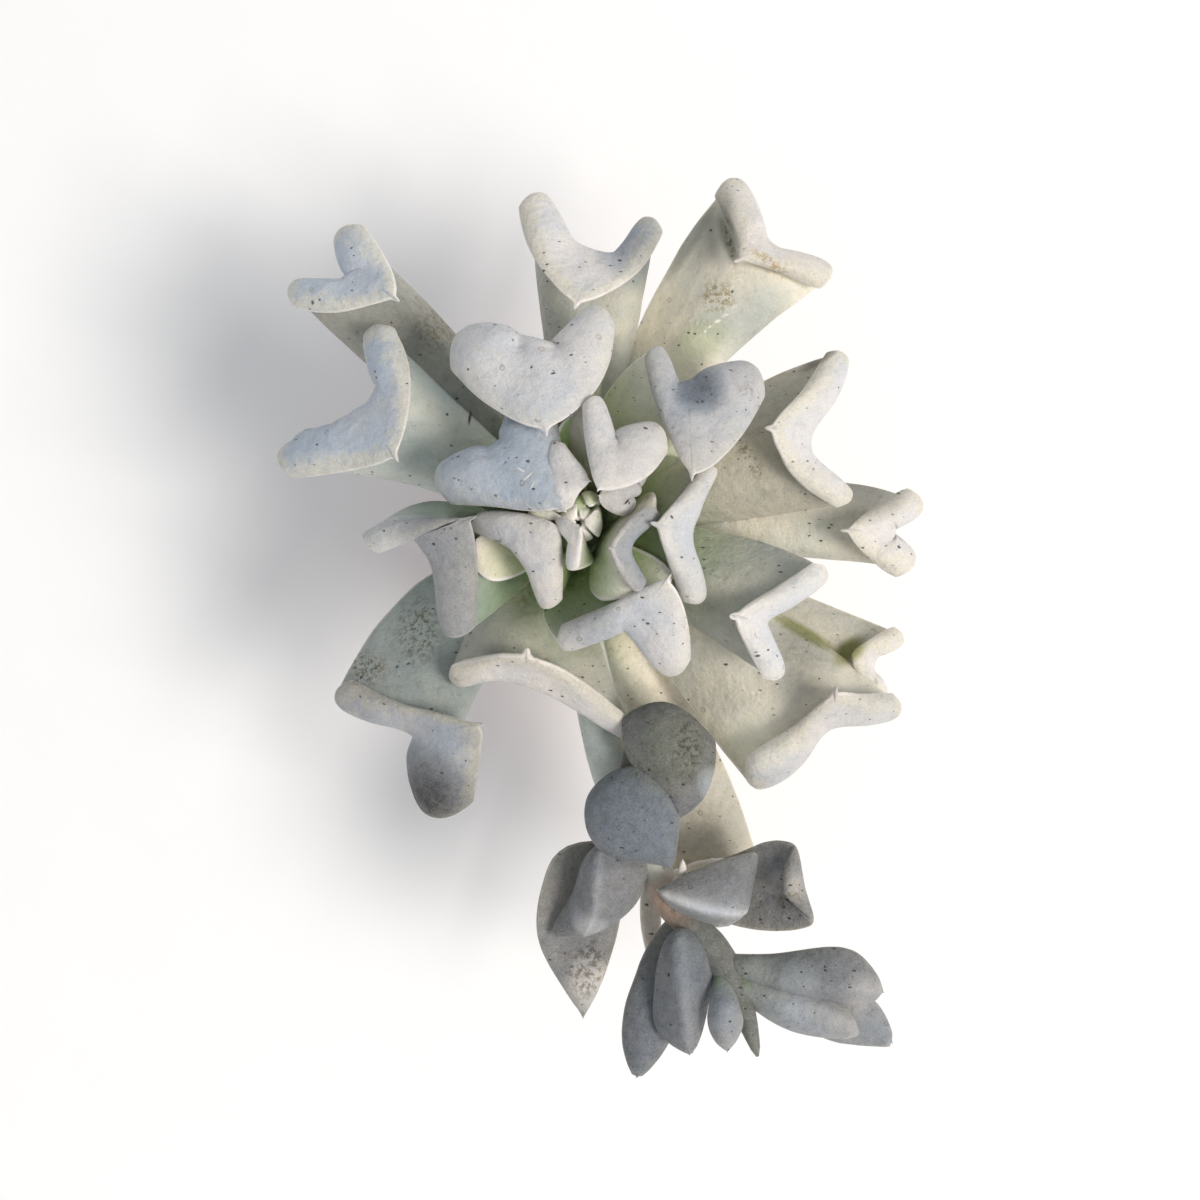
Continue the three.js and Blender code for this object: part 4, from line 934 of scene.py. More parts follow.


# %% The stains of single leaves, with painted shade and highlights among them
OUTER_STAINS_AND_SHADE = [
    stain_or_painted_shade((-62, -40), (8, 7), 0.85, STAIN_BROWN),
    stain_or_painted_shade((-47, -29), (9, 13), 0.8, STAIN_BROWN),
    stain_or_painted_shade((-41, 57), (8, 9), 0.7, SCUFF_OLIVE),
    stain_or_painted_shade((38, 64), (7, 6), 0.8, SCUFF_OLIVE),
    # Painted shade on one leaf: over its hollow, in its crease and along its turned-down left
    # margin.
    stain_or_painted_shade((36.5, 82.5), (15, 6.5), 0.6, PAINTED_HOLLOW_SHADE, False, 72),
    stain_or_painted_shade((41.0, 80.5), (10, 2.4), 0.75, PAINTED_CREASE_SHADE, False, -76),
    stain_or_painted_shade((41.2, 79.5), (9, 1.3), 0.9, PAINTED_CREASE_SHADOW, True, -76),
    stain_or_painted_shade((31, 81.5), (16, 3.0), 0.6, PAINTED_MARGIN_SHADE, False, 58),
    stain_or_painted_shade((51.8, 72.3), (9, 2.2), 0.8, RUST_TAN, True, -30),
    stain_or_painted_shade((33, 52), (13, 8), 0.55, MOSS_WASH, False, 30),
    # Painted shade: dark brown on the blade beside a plate, where the plate shades it.
    stain_or_painted_shade((66.5, 47), (8, 2.6), 0.75, PAINTED_SHADE_BROWN, False, 35),
    stain_or_painted_shade((47, 19), (9, 3), 0.7, DRY_BROWN, True, -60),
    stain_or_painted_shade((-16, -15), (6, 11), 0.8, SCUFF_OLIVE),
    # An olive band along a valley: partly the leaf's green, partly painted shade.
    stain_or_painted_shade((64, -29.5), (15, 2.8), 0.85, VALLEY_OLIVE_AND_SHADE, False, -30),
    stain_or_painted_shade((77, -35), (8, 4), 0.85, VALLEY_OLIVE_AND_SHADE, False, 40),
    stain_or_painted_shade((39, 58), (12, 0.7), 0.8, RIM_LINE, True, 39),
    # Painted highlight: a pale band along the lit ridge beside the crease.
    stain_or_painted_shade((47, 79), (9, 2.5), 0.5, RIM_LINE, True, 70),
    stain_or_painted_shade((-31.6, 31.4), (0.55, 3.2), 1.0, SPECK_DARK, False),
]
MIDDLE_STAINS = [
    stain_or_painted_shade((31.5, 31.4), (1.6, 0.7), 1.0, SPECK_DARK),
    stain_or_painted_shade((-10.6, 26), (1.2, 0.9), 0.9, STAIN_BROWN),
    stain_or_painted_shade((-21.7, 6.7), (1.4, 1.0), 0.9, STAIN_BROWN),
    stain_or_painted_shade((44, 35), (4, 3), 0.5, RING_TAN),
    stain_or_painted_shade((-13.4, 11.6), (2.6, 0.35), 0.9, RIM_LINE, False, 42),
    stain_or_painted_shade((-15, 13.5), (1.8, 0.3), 0.9, RIM_LINE, False, -30),
    stain_or_painted_shade((-12, 9.5), (2.0, 0.3), 0.9, RIM_LINE, False, 65),
    stain_or_painted_shade((-21.5, -4.6), (1.5, 1.1), 0.8, STAIN_BROWN),
]
STALK_STAINS = [
    stain_or_painted_shade((25, -62), (17, 17), 0.5, BRACT_OLIVE, False),
    stain_or_painted_shade((29.5, -61), (6, 12), 0.7, STAIN_BROWN),
    stain_or_painted_shade((2, -125), (9, 12), 0.7, STAIN_BROWN),
    stain_or_painted_shade((58, -104), (5, 6), 0.6, SCUFF_OLIVE),
]

# %% Make the twenty-four leaves
LEAF_WAVES = [(16, 0.35), (5, 0.12), (1.6, 0.03)]


def make_leaves():
    finishes = {
        "inner": farina_finish("farina_inner", green_until=30.0, specks=0.06, olive=0.15,
                               rim=0.1, seed=1.0, line_width=1.3),
        "middle": farina_finish("farina_middle", green_until=48.0, specks=0.14, olive=0.3,
                                rim=0.25, seed=2.0, stains_and_shade=MIDDLE_STAINS),
        "outer": farina_finish("farina_outer", green_until=38.0, specks=0.14, olive=0.6,
                               rim=0.6, seed=3.0, stains_and_shade=OUTER_STAINS_AND_SHADE),
    }
    for number, shape in enumerate(LEAVES):
        upper, lower, marks = leaf_skins(shape)
        marks |= tinted(shape, lower, marks["rolled"])
        mesh = mesh_from(shape.name, [closed_skin(upper, lower, marks)])
        roughen(mesh, number, LEAF_WAVES)
        finish_piece(shape.name + "_fine", mesh, finishes[shape.name.split("_")[0]],
                     "farina", shape.name)
        print(shape.name, "faces", len(mesh.polygons))


make_leaves()

# %% [markdown]
# ## The flower stalk
# From under the rosette a stalk as thick as a pencil arches out and up. It carries
# small fleshy leaves, called bracts, which curl forward like the big ones. Each bract
# is a net three points wide: left edge, middle and right edge. Four to eight such rows,
# from its root to its tip, give its fold, its round back and its point. The stalk
# itself is a tube that gets thinner along its line and closes in a bud.

# %% The stalk's line and its bracts
STALK_LINE = [
    (-1.5, -8.6, 93), (1, -32, 92), (5, -55, 94), (9, -71, 97), (15.5, -85, 101),
    (21, -97.5, 104), (25, -106.5, 107), (33, -114, 110), (40.5, -122, 112),
    (45.5, -133.5, 115), (49, -146.5, 119)]
STALK_RADII = [4.5, 6, 6.3, 5.8, 5.2, 4.9, 4.7, 4.6, 4.8, 4.4, 3.6]
STALK_BUD = 0.9


def spoon(thick, keel, *rows):
    """Each row is the left edge, the middle and the right edge; keel 0.5 is a round back."""
    return SimpleNamespace(thick=thick, keel=keel, rows=np.array(rows, float))


def bract(place, thick, keel, *rows):
    """A spoon whose root is in the stalk, at a place from 0 to 1 along it."""
    centre = curve_points(STALK_LINE, np.array([place]))[0]
    side = 2 * unit(np.subtract(rows[0][2], rows[0][0]))
    return spoon(thick, keel, (centre - side, centre, centre + side), *rows)


BRACTS = [
    bract(0.31, 5, 0.5,
          ((12.5, -61.5, 103), (21, -61, 103), (34, -66.5, 103)),
          ((12, -55.5, 107), (23, -50.5, 108), (37.5, -61, 108)),
          ((11.5, -52.5, 112), (24, -47.5, 115), (38, -59.5, 113)),
          ((11, -65, 113), (25.5, -61.5, 119), (38, -69.5, 113)),
          ((19.5, -72, 113.5), (27.5, -72, 117.5), (34.5, -77.5, 113)),
          ((26.5, -80, 114), (27.5, -81.5, 115), (28.5, -80.5, 114))),
    bract(0.42, 5.5, 0.5,
          ((5.5, -79, 106), (9.5, -75, 106), (14, -71.5, 106)),
          ((1.5, -75, 111), (6.5, -71, 111.5), (11.5, -67, 111)),
          ((0.5, -82.5, 114), (9.5, -74, 117), (19.5, -66.5, 114)),
          ((4, -90, 115.5), (14.5, -80, 119), (25.5, -71.5, 115.5)),
          ((10.5, -93.5, 115), (19.5, -85.5, 118), (28.5, -79, 115)),
          ((19, -93.5, 114.5), (23, -90, 116), (27, -87.5, 114.5)),
          ((23.5, -94.5, 115), (25, -95.5, 115.5), (26.5, -93, 115))),
    bract(0.5, 5, 0.78,
          ((5, -95, 106), (11, -93, 105), (19, -93.5, 106)),
          ((1, -91, 109), (5.5, -88, 112), (19, -92.5, 111)),
          ((-1, -101.5, 107.5), (4.5, -95.5, 119), (18.5, -103, 110)),
          ((-5, -108, 107), (5.5, -104, 118), (12.5, -109.5, 110)),
          ((-9, -113.5, 108), (3.5, -110.5, 115), (7, -113, 110.5)),
          ((-7, -116, 109.5), (1, -114.5, 112), (2.5, -113.5, 111.5))),
    bract(0.6, 4.5, 0.88,
          ((34, -114.5, 104), (37.5, -107.5, 106), (38.5, -99.5, 108)),
          ((43, -113, 105), (47.5, -106.5, 110), (51.5, -92.5, 109)),
          ((40, -113, 106), (42.5, -107, 117.5), (49, -90.5, 112)),
          ((32, -113, 106), (33.5, -105, 119.5), (38, -93.5, 113)),
          ((25.5, -107, 110), (27.5, -102.5, 118.5), (30.5, -96.5, 114)),
          ((22, -102, 115), (21.5, -101, 116), (22.5, -100, 116))),
    bract(0.57, 5, 0.6,
          ((40, -112.5, 105), (42, -103.5, 102), (44, -93, 105)),
          ((48.5, -114, 107), (52, -103.5, 101.5), (52, -88, 107)),
          ((58, -114, 110), (57, -102.5, 104), (57.5, -88, 111)),
          ((66.5, -112, 111), (62, -100.5, 111), (61, -89, 112)),
          ((65, -109.5, 113.5), (58, -101, 115.5), (59, -90.5, 114)),
          ((62, -107.5, 113.5), (56.5, -102, 114), (57, -94.5, 114))),
    bract(0.44, 5, 0.7,
          ((-6, -85.5, 104), (5.5, -95, 98), (17, -92.5, 100)),
          ((-12, -102, 106), (0, -107.5, 99), (13, -104, 100)),
          ((-13.5, -116.5, 106), (-2.5, -118, 101), (10.5, -115.5, 101)),
          ((-8, -126.5, 105), (-1, -125.5, 105.5), (9, -122.5, 101)),
          ((-3, -134, 103), (1, -132, 106.5), (5.5, -130.5, 102)),
          ((0, -138.5, 103), (0.5, -140, 103.5), (1.5, -138.5, 103))),
    bract(0.74, 5.5, 0.7,
          ((24.5, -118, 111), (29.5, -115, 110), (36.5, -120, 111)),
          ((22.5, -117.5, 112.5), (27, -111.5, 115.5), (37.5, -118, 113)),
          ((21, -127, 111), (28, -121.5, 120), (37.5, -127.5, 112.5)),
          ((20, -136, 110), (29.5, -131, 119.5), (35.5, -134.5, 112.5)),
          ((21, -143, 110.5), (30.5, -140.5, 117), (34, -141, 112)),
          ((29, -147, 113.5), (30.5, -147.5, 114), (31.5, -147, 113.5))),
    bract(0.68, 5, 0.6,
          ((21, -113, 105), (23.5, -120, 104), (31, -127.5, 103)),
          ((14.5, -128.5, 105), (21.5, -134, 106.5), (29.5, -138, 103)),
          ((11, -140.5, 105), (18.5, -142, 108), (26, -146, 104)),
          ((11.5, -149, 105), (17, -150.5, 106.5), (22, -151.5, 104)),
          ((14.5, -155.5, 104.5), (16, -156, 105), (17.5, -156, 104.5))),
    bract(0.85, 5.5, 0.7,
          ((51.5, -130.5, 111.5), (52, -125.5, 118), (52.5, -120, 114)),
          ((65, -133, 112), (64, -126, 122), (68.5, -116, 115)),
          ((75.5, -134, 113.5), (74.5, -127, 123), (78, -117.5, 116)),
          ((81.5, -131.5, 116), (81, -127.5, 120), (82, -123.5, 117)),
          ((83.5, -129.5, 117), (84, -129, 117.5), (84, -128.5, 117))),
    bract(0.9, 5, 0.65,
          ((50, -137, 114), (52, -131, 119), (54, -126.5, 115)),
          ((60.5, -142, 115), (62.5, -133, 122), (66.5, -128.5, 116)),
          ((71, -142.5, 116), (71.5, -136, 121), (73.5, -132, 117)),
          ((76.5, -141.5, 117), (77.5, -140.5, 117.5), (77, -139.5, 117))),
    bract(0.87, 4, 0.5,
          ((35.5, -132.5, 119), (39, -130, 118), (43.5, -133, 119)),
          ((34.5, -135.5, 121), (39, -129, 124), (45.5, -135, 121)),
          ((36, -141, 120), (39, -136, 125.5), (44.5, -140, 120)),
          ((39.5, -144, 121), (40.5, -144.5, 121.5), (41, -144, 121))),
    bract(0.83, 4.5, 0.5,
          ((62, -143, 108.5), (62, -135.5, 111), (63, -130.5, 109)),
          ((76, -146.5, 109), (76.5, -137, 113.5), (79.5, -129.5, 110)),
          ((84.5, -146, 110), (84.5, -139.5, 113), (85.5, -134, 111)),
          ((87, -146, 111), (87.5, -144.5, 111), (87.5, -143.5, 111))),
    bract(0.48, 3, 0.5,
          ((16.5, -109, 95.5), (19, -109, 96), (23, -109, 95.5)),
          ((17.5, -119.5, 94.5), (20.5, -119, 96), (23.5, -119.5, 94.5)),
          ((20, -126.5, 94), (21.5, -127, 95), (23.5, -126, 94)),
          ((22.5, -130.5, 94), (22.5, -131, 94.3), (23, -130.5, 94))),
    bract(0.6, 3, 0.5,
          ((27, -98, 110.5), (28.5, -97.5, 111.5), (31, -98.5, 110.5)),
          ((27.5, -95.5, 112), (28.5, -95, 113), (30, -96, 112)),
          ((28, -93.5, 113), (28.5, -93, 113.3), (29, -93.5, 113))),
]

# %% The two skins of a bract
BRACT_ROWS = 46
BRACT_COLUMNS = 30


def bract_net(shape):
    left, middle, right = (shape.rows[:, k] for k in range(3))
    return np.array([left, mix(left, middle, shape.keel), middle,
                     mix(right, middle, shape.keel), right])


def bract_middle(net, u, v, spike):
    toward = unit(net[2, -1] - net[2, -2])
    narrow = 1 / (1 + (v / 0.12) ** 2) * smooth((u - 0.93) / 0.07) ** 1.5
    return net_points(net, u, v) + (spike * narrow)[..., None] * toward


def bract_skins(shape, spike=0.8):
    net = bract_net(shape)
    u, v = np.meshgrid(np.sin(np.linspace(0, 1, BRACT_ROWS) * math.pi / 2) * 0.5
                       + np.linspace(0, 0.5, BRACT_ROWS), eased(BRACT_COLUMNS),
                       indexing="ij")
    middle = bract_middle(net, u, v, spike)
    out = facing(lambda *place: bract_middle(net, *place, spike), u, v)
    width = np.linalg.norm(middle[:, -1:] - middle[:, :1], axis=-1)
    thick = np.minimum(shape.thick, 0.75 * width + 0.4)
    across = np.sqrt(np.clip(1 - np.abs(v) ** 2.6, 0, 1))
    ends = round_off((u - 0.86) / 0.14) * round_off((0.05 - u) / 0.05)
    half = (thick / 2 * across * ends)[..., None]
    return middle + out * half, middle - out * half, distances(middle, smooth(u * 2))


# %% The stalk's tube
STALK_RINGS = 150
STALK_SIDES = 40


def ring_faces(rings, sides):
    """Faces of a body made of rings, whose last two points are its foot and its top."""
    number = np.arange(rings * sides).reshape(rings, sides)
    after = np.roll(number, -1, axis=1)
    faces = np.stack([number[:-1], after[:-1], after[1:], number[1:]], -1)
    foot, top = rings * sides, rings * sides + 1
    return (faces.reshape(-1, 4).tolist()
            + [[foot, int(b), int(a)] for a, b in zip(number[0], after[0])]
            + [[top, int(a), int(b)] for a, b in zip(number[-1], after[-1])])


def tube(line, radii, rings, sides, lumps=0.0):
    """A tube with closed ends whose radius follows the list of radii along the line."""
    places = np.linspace(0, 1, rings)
    middle = curve_points(line, places)
    forward = np.gradient(middle, axis=0)
    forward /= np.linalg.norm(forward, axis=1, keepdims=True)
    across = np.cross(UP, forward)
    across /= np.linalg.norm(across, axis=1, keepdims=True)
    face = np.cross(forward, across)
    radius = np.interp(places, np.linspace(0, 1, len(radii)), radii)
    turn = np.linspace(0, 2 * math.pi, sides, endpoint=False)
    swell = np.array([[noise.noise(Vector((math.cos(a), math.sin(a), 9 * p))) for a in turn]
                      for p in places]) * lumps
    out = (radius[:, None] * (1 + swell))[..., None]
    ring = (across[:, None] * np.cos(turn)[:, None] + face[:, None] * np.sin(turn)[:, None])
    points = np.vstack([(middle[:, None] + out * ring).reshape(-1, 3), middle[:1], middle[-1:]])
    length = np.concatenate([np.repeat(places, sides), [0, 1]])
    return points, ring_faces(rings, sides), length


# %% Turn a body's faces outward
def outward(points, faces):
    """The same faces, turned round if the body would be inside out."""
    corners = points[np.array([face[:3] for face in faces])]
    volume = np.einsum("nc,nc->", corners[:, 0], np.cross(corners[:, 1], corners[:, 2]))
    return faces if volume > 0 else [list(face)[::-1] for face in faces]


# %% The tones of the bracts: painted shade and painted highlights
def painted_ridge_light(place, width, change):
    """A painted line along a bract, from -1 at its left edge to 1 at its right, and its tone: a
    highlight where it is above zero, shade where it is below.
    """
    return SimpleNamespace(place=place, width=width, change=change)


# Painted shade: the bracts' tones are low, so they are darker as if the rosette shaded them.
BRACT_TINTS_AND_PAINTED_SHADE = [
    (0.4, -3.1), (-0.1, -2.8), (0.4, -2.8), (0.4, -1.3), (0.6, -2.8), (0.6, -2.5),
    (0.25, -2.9), (0.3, -3.0), (0.2, -2.6), (0.3, -1.8), (0.2, -2.0), (0.3, -2.0),
    (0.9, -0.5), (0.9, 0.2),
]
# Painted light: a highlight along a bract's ridge and shade beside it.
BRACT_PAINTED_LINES = {
    2: [painted_ridge_light(0.0, 0.14, 0.9)],
    3: [painted_ridge_light(0.0, 0.16, 1.2), painted_ridge_light(0.75, 0.5, -1.5), painted_ridge_light(-0.6, 0.3, -1.2)],
    6: [painted_ridge_light(0.0, 0.2, 0.7)],
}
# Painted highlights on bract edges and tips that face the lamp, and one faint touch of painted
# shade.
BRACT_PAINTED_LIGHT = [
    touch((35, -71), 5, -0.4, 1.6), touch((2.5, -130), 8, 0.3, 1.9),
    touch((3, -110), 4, 0.1, 1.2), touch((58, -100), 6, 0.3, 1.2),
    touch((-6, -112), 8, 0, -0.2), touch((50, -125), 5, 0, 1.0),
    touch((61, -128), 7, 0, 1.2), touch((77, -131), 7, 0.2, 1.3),
]


# %% Join the stalk and its bracts
STALK_LUMPS, STALK_SEED, STALK_WAVES = 0.06, 31, [(9, 0.2), (3, 0.06)]


def stalk_radii():
    """The radii at every ring, rounded off where the stalk ends in a bud."""
    places = np.linspace(0, 1, STALK_RINGS)
    radii = np.interp(places, np.linspace(0, 1, len(STALK_RADII)), STALK_RADII)
    closing = np.clip((places - STALK_BUD) / (1 - STALK_BUD), 0, 0.995)
    return radii * round_off(closing)


def make_stalk():
    points, faces, length = tube(STALK_LINE, stalk_radii(), STALK_RINGS, STALK_SIDES,
                                 STALK_LUMPS)
    whole = np.ones(len(points))
    blush = smooth((length - 0.5) / 0.1) * smooth((0.76 - length) / 0.1)
    marks = {"from_root": 60 * whole, "from_edge": 9 * whole, "rolled": 0 * whole,
             "stalk": blush, "warmth": 0.4 * whole,
             # Painted light and shade: the tone is high near the rosette and falls from halfway
             # to three quarters along, so the outer stalk is darker.
             "tone": 1.3 - 4.2 * smooth((length - 0.45) / 0.3)}
    bodies = [(points, outward(points, faces), marks)]
    for number, (shape, (warmth, tone)) in enumerate(zip(BRACTS, BRACT_TINTS_AND_PAINTED_SHADE)):
        upper, lower, marks = bract_skins(shape)
        for line in BRACT_PAINTED_LINES.get(number, []):
            off = (eased(BRACT_COLUMNS) - line.place) / line.width
            tone = tone + line.change * np.exp(-off ** 2)
        marks |= touched([warmth + 0 * marks["rolled"], tone + 0 * marks["rolled"]], lower,
                         BRACT_PAINTED_LIGHT)
        points, faces, marks = closed_skin(upper, lower, marks)
        marks["stalk"] = 0 * marks["rolled"]
        bodies.append((points, outward(points, faces.tolist()), marks))
    mesh = mesh_from("stalk", bodies)
    roughen(mesh, STALK_SEED, STALK_WAVES)
    return mesh


# %% Place the stalk
stalk_finish = farina_finish("farina_stalk", green_until=8.0, specks=0.16, olive=0.45,
                             rim=0.2, seed=5.0, stalk=True, stains_and_shade=STALK_STAINS)
stalk_piece = finish_piece("stalk_and_bracts", make_stalk(), stalk_finish, "bloom_stalk",
                           "flower_stalk")
print("stalk faces", len(stalk_piece.data.polygons))

# %% [markdown]
# ## The heart
# In the middle the youngest leaves are only a few millimetres long and still pale
# green. They are made like the bracts. The lowest follow the plant's own rule, each
# turned by the golden angle from the one before, and the last few are set one by one.

# %% The heart's small leaves
GOLDEN_ANGLE = math.radians(137.5)
HEART_FOOT = 132
YOUNG_LEAVES = 9
# Painted light: the young leaves' tone is raised, for light shining through them.
YOUNG_TINT_AND_PAINTED_GLOW = (0.6, 2.2, 3.4)
HEART_LEAVES = [
    spoon(1.8, 0.5,
          ((-1.5, 2.5, 134), (-0.5, 3, 134), (0.5, 3.5, 134)),
          ((-3.5, 4.5, 139), (-2, 6.5, 139), (1, 7.5, 139)),
          ((-3.5, 5, 142), (-1.5, 6.5, 143), (1.5, 7, 142)),
          ((-2, 2.5, 143), (0, 4, 144), (2, 5.5, 142.5)),
          ((0.5, 1.5, 142.5), (0.7, 2, 142.7), (1, 2.3, 142.5))),
    spoon(1.8, 0.5,
          ((1.5, 0, 133), (2, 0.5, 133), (2, 1.5, 133)),
          ((4.5, -1, 138), (5, 1.5, 137), (5, 4.5, 138)),
          ((5, -0.5, 141), (5.8, 2, 141), (5.2, 4.5, 141)),
          ((3, 0, 141.5), (3.5, 2, 142.5), (4, 4, 141.5)),
          ((1.4, 1.6, 141.5), (1.5, 2, 141.8), (1.8, 2.5, 141.5))),
    spoon(2.2, 0.5,
          ((-1.5, 1.5, 131), (-1.5, 0.5, 131), (-1.5, -0.5, 131)),
          ((-5, 4, 137), (-6, 2.2, 136), (-7, 0, 137)),
          ((-11, 5, 141), (-12, 2.5, 140), (-12, -0.5, 141)),
          ((-12.5, 4.5, 143.5), (-13.5, 2.5, 143.5), (-13.5, 0.5, 143.5)),
          ((-9, 4.5, 144), (-8.5, 2.5, 145), (-8, 0.5, 144)),
          ((-4.5, 1.4, 144), (-4, 1.1, 144.2), (-4.5, 0.7, 144))),
    spoon(2.0, 0.5,
          ((0, 2.5, 132), (1, 2, 132), (2, 1.5, 132)),
          ((0.5, 7, 139), (3, 6.5, 138), (5.5, 4.5, 139)),
          ((0.5, 8.5, 143.5), (3.2, 8.5, 144), (6, 6.5, 143.5)),
          ((1, 6.5, 145), (3, 6.5, 146), (5, 5, 145)),
          ((2, 4.5, 145), (2.5, 4.2, 145.5), (3, 4, 145))),
    spoon(1.6, 0.5,
          ((-1, 6, 131), (0, 7, 131), (1, 6, 131)),
          ((-6.5, 13, 137), (-2, 14, 135), (3, 12, 137)),
          ((-7.5, 22, 140), (-2, 24, 138), (4, 21, 140)),
          ((-5, 27, 141), (-1, 28, 140), (3, 26, 141)),
          ((-2, 28.5, 141), (-1, 29, 141), (0, 28.5, 141))),
    spoon(1.4, 0.5,
          ((9, -4, 130), (9, -6, 129), (9, -8, 130)),
          ((15, -6, 136), (14, -11, 134), (11, -15, 136)),
          ((21, -9, 140), (19, -14, 138), (15, -18, 140)),
          ((24, -12, 141), (22.5, -15.5, 141), (19, -18.5, 141)),
          ((25, -14, 141), (24, -15.5, 141.5), (22.5, -17, 141))),
    spoon(1.8, 0.5,
          ((-6, -2, 124), (-6, -4, 124), (-6, -6, 124)),
          ((-14, -1, 128), (-14, -6, 127), (-13, -12, 127)),
          ((-20, -1, 131), (-20, -7, 130), (-19, -15, 129)),
          ((-26, -2, 132), (-26.5, -7, 131), (-25, -16, 130)),
          ((-28, -4, 132), (-28.5, -7, 131.5), (-28, -12, 131))),
]
# Painted light: high tones make the heart's leaves glow, for light shining through them.
HEART_TINTS_AND_PAINTED_GLOW = [(0.6, 2.0, 1.8), (0.6, 2.0, 1.8), (0.7, 1.8, 1.8), (0.9, 2.2, 1.8),
               (0.3, 3.0, 0.6), (0.7, 2.2, 1.9), (1.0, 1.6, 1.6)]


def young_leaf(number):
    """A blade that rises from the middle and bends in over it."""
    age = 1 - number / YOUNG_LEAVES
    turn = number * GOLDEN_ANGLE
    out = np.array([math.cos(turn), math.sin(turn), 0])
    over = np.array([-out[1], out[0], 0])
    rows = []
    for reach, rise, wide in [(0.3, 0.2, 0.8), (1, 0.5, 1.8), (1.15, 0.85, 2.2),
                              (0.7, 1.05, 1.5), (0.3, 1.05, 0.2)]:
        middle = out * reach * (1.5 + 3.6 * age) + UP * (HEART_FOOT + rise * (10 + 3 * age))
        side = over * wide * (0.7 + 1.2 * age)
        rows.append((middle - side - out * 0.3, middle, middle + side - out * 0.3))
    return spoon(1.1 + 0.7 * age, 0.5, *rows)


def make_heart():
    """Each tint is a warmth, a tone and an age that tells how soon the green ends. The high tones
    are painted light, for light that shines through the thin young leaves.
    """
    bodies = []
    shapes = [young_leaf(number) for number in range(YOUNG_LEAVES)] + HEART_LEAVES
    tints = YOUNG_LEAVES * [YOUNG_TINT_AND_PAINTED_GLOW] + HEART_TINTS_AND_PAINTED_GLOW
    for shape, (warmth, tone, age) in zip(shapes, tints):
        points, faces, marks = closed_skin(*bract_skins(shape, 0.4))
        nothing = 0 * marks["rolled"]
        marks |= {"warmth": nothing + warmth, "tone": nothing + tone, "rolled": nothing,
                  "from_root": age * marks["from_root"]}
        bodies.append((points, outward(points, faces.tolist()), marks))
    return mesh_from("heart", bodies)


heart_finish = farina_finish("farina_heart", green_until=45.0, specks=0.05, olive=0.1,
                             rim=0.0, seed=6.0, line_width=1.1)
heart_piece = finish_piece("heart_leaves", make_heart(), heart_finish, "young_leaf",
                           "heart_bud")
print("heart faces", len(heart_piece.data.polygons))

# %% [markdown]
# ## The clay pot
# The pot is a plain thrown one. Its section is drawn once, as a line of corners with
# soft edges, and turned round the middle. Fine grooves from the potter's fingers and
# a slight waver keep it from looking cast. Three holes in the foot let water out.

# %% The pot's section
POT_HEIGHT, POT_FOOT, POT_NECK, POT_RIM = 78, 29, 37.5, 42
POT_BAND, POT_WALL, POT_FLOOR = 17, 4.5, 6
DRAIN_RADIUS, DRAIN_CIRCLE, DRAINS = 3.5, 14, 3
POT_SIDES, DRILL_SIDES = 180, 32
POT_WAVER, POT_GROOVE = 0.25, 0.05


def section_line(corners, step=1.0):
    """Points every step along straight lines between corners, corners included."""
    line = [corners[0]]
    for start, end in zip(corners[:-1], corners[1:]):
        length = math.dist(start, end)
        count = max(1, round(length / step))
        line += [tuple(np.array(start) + (np.array(end) - start) * k / count)
                 for k in range(1, count + 1)]
    return line


def pot_section():
    inner_foot, inner_rim = POT_FOOT - POT_WALL, POT_RIM - POT_WALL + 0.8
    band = POT_HEIGHT - POT_BAND
    return section_line([
        (0, 0), (POT_FOOT - 2.2, 0), (POT_FOOT - 1.2, 0.2), (POT_FOOT - 0.3, 0.8),
        (POT_FOOT + 0.1, 1.8), (POT_NECK - 0.15, band - 0.9), (POT_NECK + 0.15, band - 0.2),
        (POT_NECK + 1, band + 0.1), (POT_RIM - 2, band + 0.4), (POT_RIM - 1.1, band + 1),
        (POT_RIM - 0.7, band + 2), (POT_RIM - 0.1, POT_HEIGHT - 2.4),
        (POT_RIM - 0.3, POT_HEIGHT - 1.2), (POT_RIM - 1, POT_HEIGHT - 0.4),
        (POT_RIM - 2.2, POT_HEIGHT), (inner_rim + 0.6, POT_HEIGHT - 0.3),
        (inner_rim, POT_HEIGHT - 1.2), (inner_rim - 0.6, POT_HEIGHT - 3),
        (inner_foot + 0.2, POT_FLOOR + 3), (inner_foot - 0.8, POT_FLOOR + 0.8),
        (inner_foot - 2.5, POT_FLOOR), (0, POT_FLOOR)])


# %% Turn a section into a closed body
def turned(name, section, sides, waver=0.0, groove=0.0):
    """The section's first and last points lie on the axis and become the two poles."""
    turn = np.linspace(0, 2 * math.pi, sides, endpoint=False)
    ring = np.array(section[1:-1])
    slow = np.array([[noise.noise(Vector((math.cos(a), math.sin(a), h / 30))) for a in turn]
                     for h in ring[:, 1]])
    spiral = np.sin(ring[:, 1:] * 2.6 + turn * 1.0)
    out = ring[:, :1] + waver * slow + groove * spiral * smooth((ring[:, :1] - 24) / 3)
    points = np.stack([out * np.cos(turn), out * np.sin(turn),
                       np.broadcast_to(ring[:, 1:], out.shape)], -1).reshape(-1, 3)
    points = np.vstack([points, [(0, 0, section[0][1]), (0, 0, section[-1][1])]])
    mesh = bpy.data.meshes.new(name)
    mesh.from_pydata((points * MM).tolist(), [],
                     outward(points, ring_faces(len(ring), sides)))
    return mesh


def plain_copy(thing):
    """The object's mesh with its modifiers worked in."""
    graph = bpy.context.evaluated_depsgraph_get()
    mesh = bpy.data.meshes.new_from_object(thing.evaluated_get(graph))
    thing.modifiers.clear()
    return mesh


